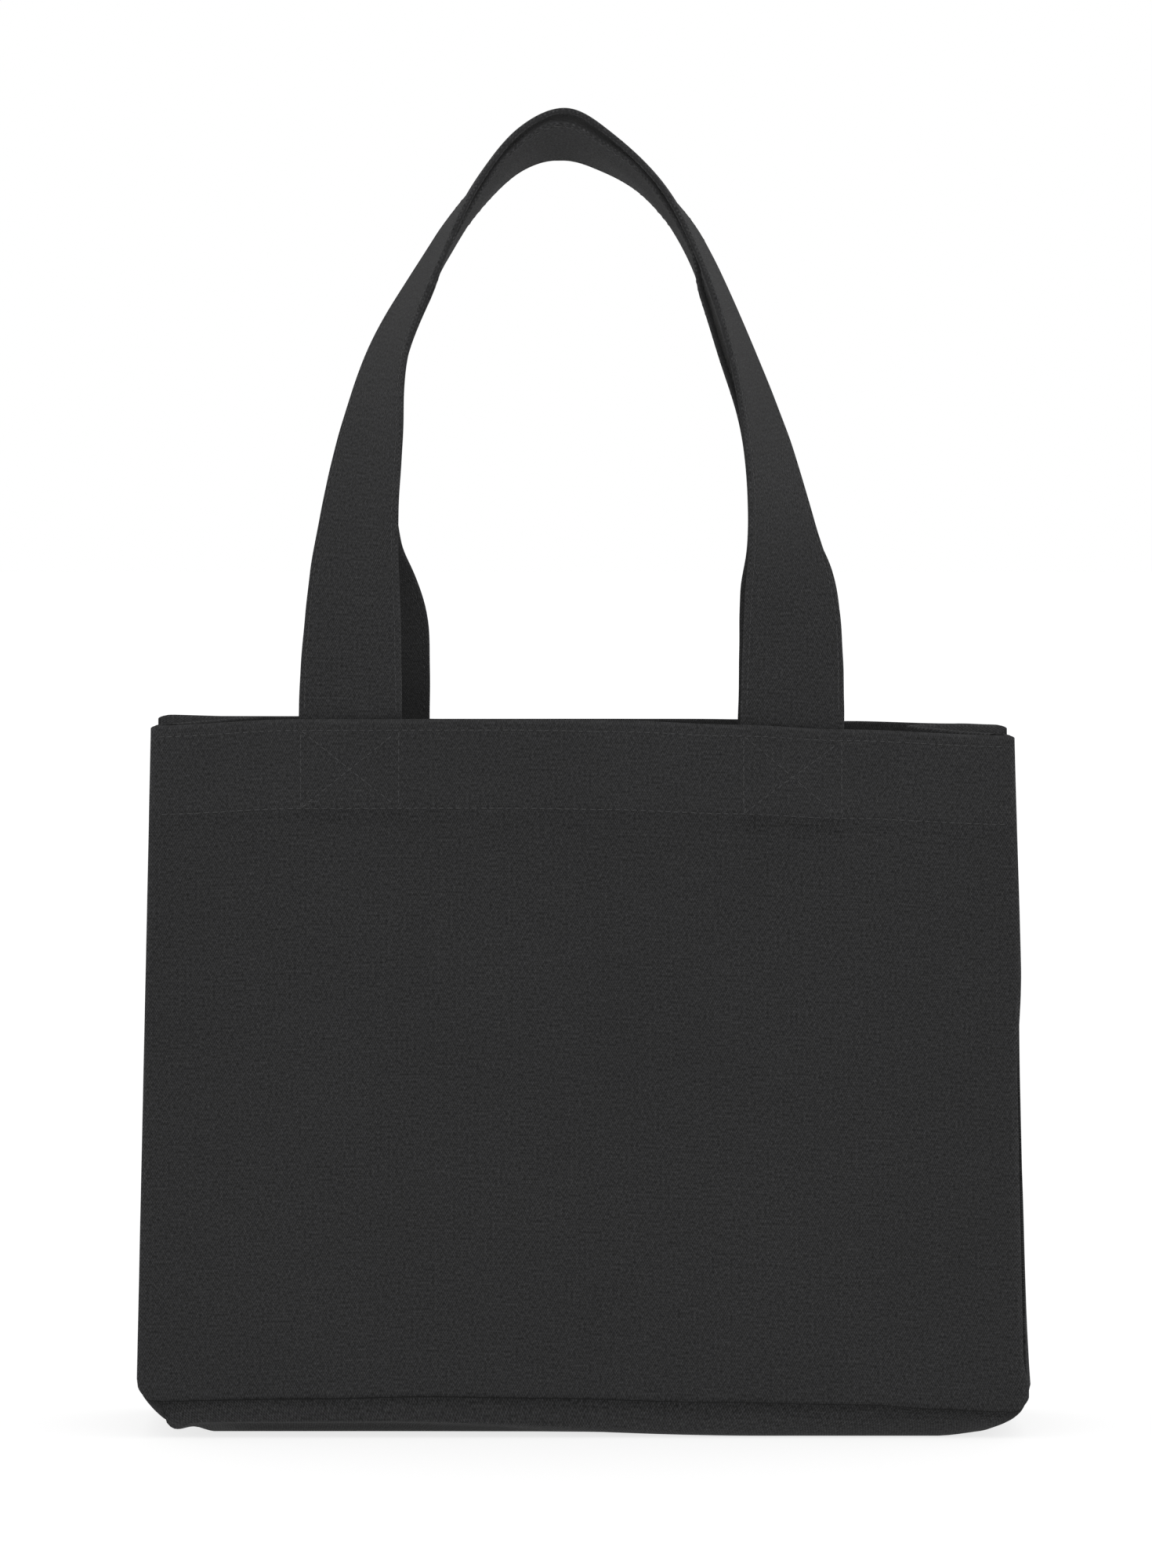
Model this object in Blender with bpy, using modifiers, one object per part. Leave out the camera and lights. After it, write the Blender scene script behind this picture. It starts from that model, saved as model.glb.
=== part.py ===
"""Canvas tote bag: front and back panels, a side-bottom-side gusset and two strap handles.

Metres, +Z up. The front faces -Y, and +X is to the right as the front is seen.
The origin is on the floor, under the middle of the bag.
"""

import math

import bmesh
import bpy
from mathutils import Vector

# ---------------------------------------------------------------- driving dimensions
CLOTH = 0.001  # one layer of heavy canvas
GAP = 0.0003  # kept between pieces that touch
BASE_WIDTH = 0.379
RIM_WIDTH = 0.368
GUSSET_WIDTH = 0.100
RIM_HALF_DEPTH = 0.027  # the mouth is drawn in, narrower than the base
SEAM_HEIGHT = 0.014  # the gusset turns up this far before it meets the panels
RIM_HEIGHT = 0.3015
PANEL_CORNER = 0.006
HEM_DEPTH = 0.038
STRAP_WIDTH = 0.044
STRAP_THICKNESS = 0.0024
SEAM_ALLOWANCE = 0.008
ALLOWANCE_INSET = 0.006  # from the panel's edge to the allowance's outer edge
ALLOWANCE_TOP_DROP = 0.003  # it ends this far below the hem
HEM_INSET = 0.005  # the hem's inner layer ends this far inside the panel's sides
ROW_INSET = 0.003  # and the two hem rows this far

THREAD = 0.0004
THREAD_WIDTH = 0.0008
RIM_ROW_DROP = 0.0043  # upper row of the hem, below the rim
BOX_TOP_DROP = 0.0065
BOX_WIDTH = 0.0425
BOX_HEIGHT = 0.030
STRAP_ROW_INSET = 0.0025

PIVOT_DEPTH = 0.0006  # each handle folds about a line in the panel's cloth,
PIVOT_RISE = 0.0005  # just above the rim

BOTTOM_CURVE_X = 0.024  # how far in from its edges the bottom starts to turn up
BOTTOM_CURVE_Y = 0.0095
FLAT_SHARE = 0.35  # of the bottom's grid lines, on its flat part
BOTTOM_CELLS = 14
WALL_CLEARANCE = 0.0009  # from the middle of a side wall's edge to the panel
CREASE_ROUNDNESS = 1.3  # 1 is a sharp V
GUSSET_HEM_REACH = 0.8
GUSSET_HEM_INWARD = CLOTH + 2 * GAP  # from the wall's middle to its hem's middle
WALL_RISE = 4 * GAP  # the walls start this far above the bottom's edge
WALL_CELLS = (8, 12)  # across and up
WALL_ROW_SPACING = 1.6  # above 1, the rows are closer together near the base
SLOPE_STEP = 0.01  # in t, for the direction of the wall

# ---------------------------------------------------------------- worked-out dimensions
HALF_BASE = BASE_WIDTH / 2
HALF_RIM = RIM_WIDTH / 2
HALF_GUSSET = GUSSET_WIDTH / 2
LEAN = math.atan2(HALF_GUSSET - RIM_HALF_DEPTH, RIM_HEIGHT - SEAM_HEIGHT)
PANEL_LENGTH = math.hypot(HALF_GUSSET - RIM_HALF_DEPTH, RIM_HEIGHT - SEAM_HEIGHT)
HEM_FRONT = CLOTH + GAP  # depths are measured inwards from the panel's outer face
STRAP_FRONT = HEM_FRONT + CLOTH + GAP
STRAP_MIDDLE = STRAP_FRONT + STRAP_THICKNESS / 2
THREAD_MIDDLE = GAP + THREAD / 2

# Centre lines of the handles, from the left leg over the top to the right leg:
# x, height above the floor, and the strap's twist in degrees. At 0 the strap's face lies
# in the panel's plane, and at 90 it is edge-on to a person in front of the bag.
FRONT_ROUTE = [
    (-0.0995, 0.3020, 0),
    (-0.0985, 0.3450, 19),
    (-0.0965, 0.3830, 37),
    (-0.0910, 0.4235, 51),
    (-0.0825, 0.4635, 68),
    (-0.0610, 0.5070, 80),
    (-0.0455, 0.5350, 84),
    (-0.0275, 0.5560, 86),
    (-0.0075, 0.5645, 86),
    (0.0120, 0.5540, 86),
    (0.0345, 0.5320, 85),
    (0.0520, 0.5010, 82),
    (0.0670, 0.4625, 76),
    (0.0780, 0.4235, 64),
    (0.0850, 0.3840, 48),
    (0.0890, 0.3460, 18),
    (0.0890, 0.3020, 0),
]
BACK_ROUTE = [
    (-0.0885, 0.3020, 0),
    (-0.0885, 0.3440, 13),
    (-0.0940, 0.3790, 45),
    (-0.0910, 0.4225, 63),
    (-0.0800, 0.4635, 76),
    (-0.0570, 0.5055, 86),
    (-0.0415, 0.5285, 91),
    (-0.0275, 0.5435, 98),
    (-0.0110, 0.5515, 108),
    (0.0065, 0.5450, 100),
    (0.0270, 0.5295, 91),
    (0.0455, 0.5025, 86),
    (0.0605, 0.4620, 83),
    (0.0735, 0.4245, 77),
    (0.0845, 0.3840, 50),
    (0.0890, 0.3505, 10),
    (0.0890, 0.3020, 0),
]
STRAP_STEPS = 80

CANVAS = (0.030, 0.030, 0.031)
CANVAS_INSIDE = (0.027, 0.027, 0.028)
YARN = (0.045, 0.045, 0.046)


# ---------------------------------------------------------------- helpers
def clear_scene():
    for obj in list(bpy.data.objects):
        bpy.data.objects.remove(obj, do_unlink=True)
    for group in list(bpy.data.collections):
        bpy.data.collections.remove(group)


def new_collection():
    group = bpy.data.collections.new("canvas_tote_bag")
    bpy.context.scene.collection.children.link(group)
    return group


def cloth_material(name, colour, roughness):
    material = bpy.data.materials.new(name)
    material.use_nodes = True
    shader = material.node_tree.nodes["Principled BSDF"]
    shader.inputs["Base Color"].default_value = (*colour, 1.0)
    shader.inputs["Roughness"].default_value = roughness
    shader.inputs["Metallic"].default_value = 0.0
    return material


def add_object(name, data, group, parent=None):
    obj = bpy.data.objects.new(name, data)
    obj.parent = parent
    group.objects.link(obj)
    return obj


def finish_piece(obj, colour, roughness=0.95):
    obj.data.materials.append(cloth_material(obj.name, colour, roughness))
    return obj


def flat_piece(name, outlines, thickness, depth, group, parent, colour):
    """A flat piece in a panel's plane. Outlines are (x, height up the panel) points.

    The first outline is the edge and any others are openings in it.
    """
    curve = bpy.data.curves.new(name, "CURVE")
    curve.dimensions = "2D"
    curve.fill_mode = "BOTH"
    curve.extrude = thickness / 2
    for outline in outlines:
        spline = curve.splines.new("POLY")
        spline.points.add(len(outline) - 1)
        for point, (x, height) in zip(spline.points, outline):
            point.co = (x, height, 0.0, 1.0)
        spline.use_cyclic_u = True
    obj = add_object(name, curve, group, parent)
    obj.rotation_euler = (math.pi / 2, 0.0, 0.0)
    obj.location = (0.0, depth, 0.0)
    return finish_piece(obj, colour)


def cloth_sheet(name, across, along, place, thickness, group, parent, colour):
    """A thick sheet over a grid. place(u, v) gives each point, with u and v from 0 to 1."""
    shape = bmesh.new()
    bmesh.ops.create_grid(shape, x_segments=across, y_segments=along, size=0.5)
    for vertex in shape.verts:
        vertex.co = place(vertex.co.x + 0.5, vertex.co.y + 0.5)
    mesh = bpy.data.meshes.new(name)
    shape.to_mesh(mesh)
    shape.free()
    mesh.shade_smooth()
    obj = add_object(name, mesh, group, parent)
    solid = obj.modifiers.new("thickness", "SOLIDIFY")
    solid.thickness = thickness
    solid.offset = 0.0
    solid.use_even_offset = True
    return finish_piece(obj, colour)


def rectangle(x_low, x_high, low, high):
    return [(x_low, low), (x_high, low), (x_high, high), (x_low, high)]


def half_width(height):
    """Half the bag's width at a height above the base seam, measured up the panel."""
    return HALF_BASE + (HALF_RIM - HALF_BASE) * height / PANEL_LENGTH


def smooth_route(route, steps):
    """Evenly counted points on a Catmull-Rom curve through the route's points."""
    knots = [Vector(point) for point in route]
    knots = [knots[0] * 2 - knots[1], *knots, knots[-1] * 2 - knots[-2]]
    spans = len(route) - 1
    points = []
    for step in range(steps + 1):
        position = spans * step / steps
        index = min(int(position), spans - 1)
        t = position - index
        a, b, c, d = knots[index : index + 4]
        points.append(
            0.5
            * (
                2 * b
                + (c - a) * t
                + (2 * a - 5 * b + 4 * c - d) * t**2
                + (3 * b - a - 3 * c + d) * t**3
            )
        )
    return points


# ---------------------------------------------------------------- panels
def panel_outline():
    """The panel narrows to the rim, and its bottom corners are rounded."""
    corner = []
    for step in range(5):
        angle = math.radians(90 * step / 4)
        x = HALF_BASE - PANEL_CORNER * (1 - math.sin(angle))
        corner.append((x, PANEL_CORNER * (1 - math.cos(angle))))
    right = [*corner, (HALF_RIM, PANEL_LENGTH)]
    left = [(-x, height) for x, height in reversed(right)]
    return right + left


def allowance_outline():
    """A U-shaped band along the panel's sides and bottom, inside the bag."""
    low, high = ALLOWANCE_INSET, PANEL_LENGTH - HEM_DEPTH - ALLOWANCE_TOP_DROP
    outer = [(half_width(height) - ALLOWANCE_INSET, height) for height in (high, low)]
    inner = [(x - SEAM_ALLOWANCE, height) for x, height in outer]
    inner[1] = (inner[1][0], low + SEAM_ALLOWANCE)
    right = [*reversed(outer), *inner]
    left = [(-x, height) for x, height in reversed(right)]
    return right + left


def box_stitch_outlines(centre):
    """A stitched rectangle with its two diagonals, as an edge and four openings."""
    top = PANEL_LENGTH - BOX_TOP_DROP
    bottom = top - BOX_HEIGHT
    middle = (top + bottom) / 2
    half = BOX_WIDTH / 2
    inner = half - THREAD_WIDTH
    rise = BOX_HEIGHT / 2 - THREAD_WIDTH
    run = THREAD_WIDTH * math.hypot(half, BOX_HEIGHT / 2) / BOX_HEIGHT * 2
    lift = run * rise / inner
    outlines = [rectangle(centre - half, centre + half, bottom, top)]
    for sign in (1, -1):
        outlines.append(
            [
                (centre - inner + run, middle + sign * rise),
                (centre, middle + sign * lift),
                (centre + inner - run, middle + sign * rise),
            ]
        )
        outlines.append(
            [
                (centre + sign * inner, middle - rise + lift),
                (centre + sign * run, middle),
                (centre + sign * inner, middle + rise - lift),
            ]
        )
    return outlines


def make_panel_side(side, hinge, legs, group):
    """One panel with its hem, seam allowance, stitching and the ends of its handle."""
    flat_piece(f"{side}_panel", [panel_outline()], CLOTH, CLOTH / 2, group, hinge, CANVAS)
    hem_half = HALF_RIM - HEM_INSET
    hem_low = PANEL_LENGTH - HEM_DEPTH
    hem = rectangle(-hem_half, hem_half, hem_low, PANEL_LENGTH - GAP)
    flat_piece(f"{side}_hem", [hem], CLOTH, HEM_FRONT + CLOTH / 2, group, hinge, CANVAS_INSIDE)
    flat_piece(
        f"{side}_seam_allowance",
        [allowance_outline()],
        2 * CLOTH,
        CLOTH + GAP + CLOTH,
        group,
        hinge,
        CANVAS_INSIDE,
    )
    row_half = HALF_RIM - ROW_INSET
    for row, drop in (("rim", RIM_ROW_DROP), ("hem", HEM_DEPTH)):
        high = PANEL_LENGTH - drop
        outline = rectangle(-row_half, row_half, high - THREAD_WIDTH, high)
        flat_piece(
            f"{side}_{row}_stitches", [outline], THREAD, -THREAD_MIDDLE, group, hinge, YARN
        )
    for leg, centre in legs.items():
        half = STRAP_WIDTH / 2
        end = rectangle(centre - half, centre + half, hem_low, PANEL_LENGTH)
        flat_piece(
            f"{side}_handle_end_{leg}", [end], STRAP_THICKNESS, STRAP_MIDDLE, group, hinge, CANVAS
        )
        flat_piece(
            f"{side}_box_stitch_{leg}",
            box_stitch_outlines(centre),
            THREAD,
            -THREAD_MIDDLE,
            group,
            hinge,
            YARN,
        )


# ---------------------------------------------------------------- gusset
def crease_depth(height):
    """How far the side of the gusset folds in, because its cloth keeps its width."""
    half_depth = HALF_GUSSET - (height - SEAM_HEIGHT) * math.tan(LEAN)
    return math.sqrt(max(HALF_GUSSET**2 - half_depth**2, 0.0))


def wall_point(height, t):
    """The side wall's middle surface at a height. t runs from the front (-1) to the back."""
    edge = half_width((height - SEAM_HEIGHT) / math.cos(LEAN)) - CLOTH
    half_depth = HALF_GUSSET - (height - SEAM_HEIGHT) * math.tan(LEAN)
    half_depth -= HEM_FRONT + WALL_CLEARANCE
    x = edge - crease_depth(height) * (1 - abs(t) ** CREASE_ROUNDNESS)
    return Vector((x, half_depth * t, height))


def make_side_gusset(name, sign, reach, inward, low, group, colour):
    """A creased side wall between the panels. sign is -1 on the left and 1 on the right.

    reach is the share of the wall's width that it covers, and inward moves it into the bag.
    """
    high = RIM_HEIGHT - GAP

    def place(u, v):
        height = low + (high - low) * v**WALL_ROW_SPACING
        t = (2 * u - 1) * reach
        along = wall_point(height, t + SLOPE_STEP) - wall_point(height, t - SLOPE_STEP)
        inwards = Vector((-along.y, along.x, 0.0)).normalized()
        point = wall_point(height, t) + inwards * inward
        return Vector((sign * point.x, point.y, point.z))

    return cloth_sheet(name, *WALL_CELLS, place, CLOTH, group, None, colour)


def make_bottom_gusset(group):
    """The bottom of the gusset: flat on the floor, turned up at all its edges."""
    half_x = HALF_BASE - CLOTH
    half_y = HALF_GUSSET - HEM_FRONT - CLOTH
    rise = SEAM_HEIGHT - CLOTH / 2

    def spread(t, half, curve):
        """Grid lines: even on the flat, and closer together where it turns up."""
        if abs(t) <= FLAT_SHARE:
            return t / FLAT_SHARE * (half - curve)
        past = (abs(t) - FLAT_SHARE) / (1 - FLAT_SHARE)
        return math.copysign(half - curve * (1 - past), t)

    def place(u, v):
        x = spread(2 * u - 1, half_x, BOTTOM_CURVE_X)
        y = spread(2 * v - 1, half_y, BOTTOM_CURVE_Y)
        out_x = max(abs(x) - half_x + BOTTOM_CURVE_X, 0.0) / BOTTOM_CURVE_X
        out_y = max(abs(y) - half_y + BOTTOM_CURVE_Y, 0.0) / BOTTOM_CURVE_Y
        reach = math.hypot(out_x, out_y)
        limit = max(out_x, out_y)
        if reach > 0:
            shrink = limit / reach
            x = math.copysign(abs(x) - out_x * BOTTOM_CURVE_X * (1 - shrink), x)
            y = math.copysign(abs(y) - out_y * BOTTOM_CURVE_Y * (1 - shrink), y)
        height = CLOTH / 2 + rise * (1 - math.sqrt(max(1 - limit**2, 0.0)))
        return Vector((x, y, height))

    return cloth_sheet(
        "bottom_gusset", BOTTOM_CELLS, BOTTOM_CELLS, place, CLOTH, group, None, CANVAS
    )


def make_gusset(group):
    low = SEAM_HEIGHT + CLOTH / 2 + WALL_RISE
    hem_low = RIM_HEIGHT - HEM_DEPTH
    for side, sign in (("left", -1), ("right", 1)):
        make_side_gusset(f"{side}_gusset", sign, 1.0, 0.0, low, group, CANVAS)
        make_side_gusset(
            f"{side}_gusset_hem",
            sign,
            GUSSET_HEM_REACH,
            GUSSET_HEM_INWARD,
            hem_low,
            group,
            CANVAS_INSIDE,
        )
    make_bottom_gusset(group)


# ---------------------------------------------------------------- handles
def strap_places(route, turned, pivot_matrix):
    """Centres, width directions and face directions along a strap, in its pivot's frame.

    turned is 1 for the front handle and -1 for the back one, whose frame is turned half
    round the upright axis. Both straps twist the same way, so they nest at the top.
    """
    apex = max(height for _, height, _ in route)
    leg_depth = STRAP_MIDDLE - HALF_GUSSET + (RIM_HEIGHT - SEAM_HEIGHT) * math.tan(LEAN)
    depth = Vector((0.0, turned, 0.0))
    centres = []
    for x, height, twist in smooth_route(route, STRAP_STEPS):
        share = min(max((height - RIM_HEIGHT) / (apex - RIM_HEIGHT), 0.0), 1.0)
        centres.append((Vector((x, turned * leg_depth * (1 - share), height)), twist))
    to_pivot = pivot_matrix.inverted()
    turn_only = to_pivot.to_3x3()
    places = []
    for index, (centre, twist) in enumerate(centres):
        before = centres[max(index - 1, 0)][0]
        after = centres[min(index + 1, STRAP_STEPS)][0]
        along = after - before
        outwards = Vector((-along.z, 0.0, along.x)).normalized()
        angle = math.radians(twist)
        width = -outwards * math.cos(angle) - turned * depth * math.sin(angle)
        face = -depth * math.cos(angle) + turned * outwards * math.sin(angle)
        places.append((to_pivot @ centre, turn_only @ width, turn_only @ face))
    return places


def make_strap(name, places, low, high, lift, thickness, across, group, parent, colour):
    """A band that follows the strap, from low to high across its width."""

    def place(u, v):
        centre, width, face = places[round(v * STRAP_STEPS)]
        return centre + width * (low + (high - low) * u) + face * lift

    return cloth_sheet(
        name, across, STRAP_STEPS, place, thickness, group, parent, colour
    )


def make_handle(side, route, turned, hinge, group):
    pivot = add_object(f"{side}_handle_pivot", None, group, hinge)
    pivot.location = (0.0, PIVOT_DEPTH, PANEL_LENGTH + PIVOT_RISE)
    bpy.context.view_layer.update()
    places = strap_places(route, turned, pivot.matrix_world)
    half = STRAP_WIDTH / 2
    make_strap(
        f"{side}_handle", places, -half, half, 0.0, STRAP_THICKNESS, 2, group, pivot, CANVAS
    )
    lift = STRAP_THICKNESS / 2 + THREAD_MIDDLE + 2 * GAP  # clear of the twisting faces
    for row, edge in (("outer", -1), ("inner", 1)):
        middle = edge * (half - STRAP_ROW_INSET)
        make_strap(
            f"{side}_handle_stitches_{row}",
            places,
            middle - THREAD_WIDTH / 2,
            middle + THREAD_WIDTH / 2,
            lift,
            THREAD,
            1,
            group,
            pivot,
            YARN,
        )


# ---------------------------------------------------------------- the bag
def main():
    clear_scene()
    group = new_collection()
    make_gusset(group)
    sides = (("front", 1, FRONT_ROUTE), ("back", -1, BACK_ROUTE))
    for side, turned, route in sides:
        hinge = add_object(f"{side}_panel_hinge", None, group)
        hinge.location = (0.0, -turned * HALF_GUSSET, SEAM_HEIGHT)
        hinge.rotation_euler = (-LEAN, 0.0, 0.0 if turned == 1 else math.pi)
        legs = {"left": turned * route[0][0], "right": turned * route[-1][0]}
        make_panel_side(side, hinge, legs, group)
        make_handle(side, route, turned, hinge, group)


main()
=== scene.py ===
import math
import random

import bmesh
import bpy
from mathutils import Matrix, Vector, noise


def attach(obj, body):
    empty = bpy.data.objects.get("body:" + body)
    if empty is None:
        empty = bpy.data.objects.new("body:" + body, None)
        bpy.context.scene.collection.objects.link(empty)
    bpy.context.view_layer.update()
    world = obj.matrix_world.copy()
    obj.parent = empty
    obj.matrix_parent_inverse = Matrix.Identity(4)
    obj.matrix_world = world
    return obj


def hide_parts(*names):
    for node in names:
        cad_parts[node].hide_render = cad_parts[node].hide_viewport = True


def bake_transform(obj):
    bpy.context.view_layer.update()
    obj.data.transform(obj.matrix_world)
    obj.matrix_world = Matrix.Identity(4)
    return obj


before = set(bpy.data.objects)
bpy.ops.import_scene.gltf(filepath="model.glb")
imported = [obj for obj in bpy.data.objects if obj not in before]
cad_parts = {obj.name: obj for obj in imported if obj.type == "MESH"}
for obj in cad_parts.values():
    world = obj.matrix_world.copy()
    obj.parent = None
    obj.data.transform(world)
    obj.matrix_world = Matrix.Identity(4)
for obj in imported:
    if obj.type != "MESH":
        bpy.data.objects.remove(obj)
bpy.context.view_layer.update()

# A canvas tote bag: two panels sewn to one long gusset, and two strap handles.
# All lengths are in metres. The front of the bag faces -Y, and the floor is z = 0.

# ---- sizes
CLOTH = 0.001
GAP = 0.0003
BASE_WIDTH = 0.379
RIM_WIDTH = 0.368
RIM_HALF_DEPTH = 0.027
HALF_GUSSET = 0.050
SEAM_HEIGHT = 0.014
RIM_HEIGHT = 0.3015
HEM_DEPTH = 0.038
PANEL_CORNER = 0.009
STRAP_WIDTH = 0.044
STRAP_THICKNESS = 0.0024
RIM_ROW_DROP = 0.0043
BOX_TOP_DROP = 0.0043  # the boxes reach from the upper hem row to the lower one
BOX_WIDTH = 0.0425
BOX_HEIGHT = 0.0333
STRAP_ROW_INSET = 0.0025
PITCH = 0.00357  # from one stitch to the next
STITCH = 0.0026
STITCH_RADIUS = 0.00027

HALF_BASE = BASE_WIDTH / 2
HALF_RIM = RIM_WIDTH / 2
LEAN = math.atan2(HALF_GUSSET - RIM_HALF_DEPTH, RIM_HEIGHT - SEAM_HEIGHT)
PANEL_LENGTH = math.hypot(HALF_GUSSET - RIM_HALF_DEPTH, RIM_HEIGHT - SEAM_HEIGHT)
HEM_LOW = PANEL_LENGTH - HEM_DEPTH
STRAP_MIDDLE = 2 * (CLOTH + GAP) + STRAP_THICKNESS / 2
HEM_MIDDLE = CLOTH + GAP + CLOTH / 2

LEGS = {"front": (-0.0995, 0.0890), "back": (-0.0885, 0.0890)}
TURNED = {"front": 1, "back": -1}

# x, height and twist in degrees of each handle's middle line, from leg to leg
FRONT_ROUTE = [
    (-0.0995, 0.3020, 0),
    (-0.0985, 0.3450, 19),
    (-0.0965, 0.3830, 37),
    (-0.0910, 0.4235, 51),
    (-0.0825, 0.4635, 68),
    (-0.0610, 0.5070, 80),
    (-0.0455, 0.5350, 84),
    (-0.0275, 0.5560, 86),
    (-0.0075, 0.5645, 86),
    (0.0120, 0.5540, 86),
    (0.0345, 0.5320, 85),
    (0.0520, 0.5010, 82),
    (0.0670, 0.4625, 76),
    (0.0780, 0.4235, 64),
    (0.0850, 0.3840, 48),
    (0.0890, 0.3460, 18),
    (0.0890, 0.3020, 0),
]
BACK_ROUTE = [
    (-0.0885, 0.3020, 0),
    (-0.0885, 0.3440, 13),
    (-0.0940, 0.3790, 45),
    (-0.0910, 0.4225, 63),
    (-0.0800, 0.4635, 76),
    (-0.0570, 0.5055, 86),
    (-0.0415, 0.5285, 91),
    (-0.0275, 0.5435, 98),
    (-0.0110, 0.5515, 108),
    (0.0065, 0.5450, 100),
    (0.0270, 0.5295, 91),
    (0.0455, 0.5025, 86),
    (0.0605, 0.4620, 83),
    (0.0735, 0.4245, 77),
    (0.0845, 0.3840, 50),
    (0.0890, 0.3505, 10),
    (0.0890, 0.3020, 0),
]
ROUTES = {"front": FRONT_ROUTE, "back": BACK_ROUTE}

# (x, rise): how far the settled cloth stands above or below the straight pattern
FRONT_RIM_RISE = [
    (-0.184, 0.0), (-0.121, 0.0028), (-0.028, 0.0029), (0.012, 0.0023),
    (0.066, 0.0004), (0.111, -0.0016), (0.182, -0.0042),
]
BACK_RIM_RISE = [
    (-0.180, 0.0024), (-0.121, 0.0023), (-0.060, 0.0012), (0.045, 0.0012),
    (0.115, 0.0002), (0.160, -0.0008), (0.180, -0.0019),
]
FRONT_SEAM_RISE = [
    (-0.185, 0.0023), (-0.115, 0.0033), (-0.065, 0.0042), (-0.015, 0.0036),
    (0.052, 0.0020), (0.119, 0.0009), (0.152, -0.0010), (0.179, -0.0022),
]
BACK_SEAM_SHARE = 0.3
RISE_FADES_BY = 0.365

# ---- small maths
EDGE_OVERRUN = 0.05  # a panel's side edges carry on past its ends by this share of its length

# The right edge is drawn in near the rim
RIM_PULL = 0.0007
RIM_PULL_Z = (0.20, 0.10)
RIM_PULL_FADE = 0.03
RIM_PULL_X = (0.11, 0.07)


def clamp(value, low=0.0, high=1.0):
    return max(low, min(high, value))


def smooth(value):
    value = clamp(value)
    return value * value * (3 - 2 * value)


def mix(a, b, share):
    return a + (b - a) * share


def ramp(value, start, length):
    """0 at start, rising smoothly to 1 at length from it. A negative length falls instead."""
    return smooth((value - start) / length)


def bump(value, middle, half):
    """1 at middle, falling smoothly to 0 at half away from it."""
    return smooth(1 - abs(value - middle) / half)


def bell(distance, width):
    """1 at no distance, and next to nothing beyond twice the width."""
    return math.exp(-((distance / width) ** 2))


def pucker(along):
    """From 1 to 0 and back within each stitch of a row."""
    return 0.5 + 0.5 * math.cos(2 * math.pi * along / PITCH)


def profile(knots, x):
    """A smooth line through (x, value) knots."""
    if x <= knots[0][0]:
        return knots[0][1]
    for (x0, v0), (x1, v1) in zip(knots, knots[1:]):
        if x <= x1:
            return mix(v0, v1, smooth((x - x0) / (x1 - x0)))
    return knots[-1][1]


def half_width(up):
    """Half the width of a panel at a length up from its base seam."""
    return mix(HALF_BASE, HALF_RIM, clamp(up / PANEL_LENGTH, -EDGE_OVERRUN, 1 + EDGE_OVERRUN))


def half_depth(z):
    """Half the depth of the bag at a height."""
    return HALF_GUSSET - (z - SEAM_HEIGHT) * math.tan(LEAN)


def settled(point):
    """Where a point of the pattern ends up on the bag as it stands."""
    x, y, z = point
    half = clamp(half_depth(z), RIM_HALF_DEPTH, HALF_GUSSET)
    back = smooth((y / half + 1) / 2)
    front_seam = profile(FRONT_SEAM_RISE, x)
    seam = mix(front_seam, front_seam * BACK_SEAM_SHARE, back)
    rim = mix(profile(FRONT_RIM_RISE, x), profile(BACK_RIM_RISE, x), back)
    if z < SEAM_HEIGHT:
        rise = seam * smooth((z - CLOTH) / (SEAM_HEIGHT - CLOTH))
    elif z < RIM_HEIGHT:
        rise = mix(seam, rim, (z - SEAM_HEIGHT) / (RIM_HEIGHT - SEAM_HEIGHT))
    else:
        rise = rim * smooth(1 - (z - RIM_HEIGHT) / (RISE_FADES_BY - RIM_HEIGHT))
    sideways = 0.0
    if x > 0:
        pull = ramp(z, *RIM_PULL_Z) * smooth(1 - (z - RIM_HEIGHT) / RIM_PULL_FADE)
        sideways = -RIM_PULL * pull * ramp(x, *RIM_PULL_X)
    return Vector((x + sideways, y, z + rise))


# ---- meshes
def turn_outwards(mesh):
    """All faces of a closed mesh face outwards."""
    work = bmesh.new()
    work.from_mesh(mesh)
    bmesh.ops.recalc_face_normals(work, faces=work.faces)
    work.to_mesh(mesh)
    work.free()


def new_object(name, points, faces, uvs=None, wear_and_shade=None, closed=False):
    """A mesh object. uvs and wear, with painted shade in it, are given for each point."""
    mesh = bpy.data.meshes.new(name)
    mesh.from_pydata([tuple(p) for p in points], [], faces)
    if closed:
        turn_outwards(mesh)
    if uvs:
        layer = mesh.uv_layers.new(name="cloth")
        for loop in mesh.loops:
            layer.data[loop.index].uv = uvs[loop.vertex_index]
    if wear_and_shade:
        attribute = mesh.attributes.new("wear_and_shade", "FLOAT", "POINT")
        attribute.data.foreach_set("value", wear_and_shade)
    for polygon in mesh.polygons:
        polygon.use_smooth = True
    obj = bpy.data.objects.new(name, mesh)
    bpy.context.scene.collection.objects.link(obj)
    return obj


def grid_faces(columns, rows, flip=False):
    faces = []
    for row in range(rows - 1):
        for column in range(columns - 1):
            a = row * columns + column
            face = (a, a + 1, a + 1 + columns, a + columns)
            faces.append(face[::-1] if flip else face)
    return faces


def tube_faces(count, rings):
    """Faces of a tube of rings of count points each, with its two ends closed."""
    faces = []
    for ring in range(rings - 1):
        for i in range(count):
            a = ring * count + i
            b = ring * count + (i + 1) % count
            faces.append((a, b, b + count, a + count))
    last = (rings - 1) * count
    faces.append(tuple(range(count))[::-1])
    faces.append(tuple(range(last, last + count)))
    return faces


def thicken(obj, thickness):
    solid = obj.modifiers.new("thickness", "SOLIDIFY")
    solid.thickness = thickness
    solid.offset = 0.0
    solid.use_even_offset = False
    return obj


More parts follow.
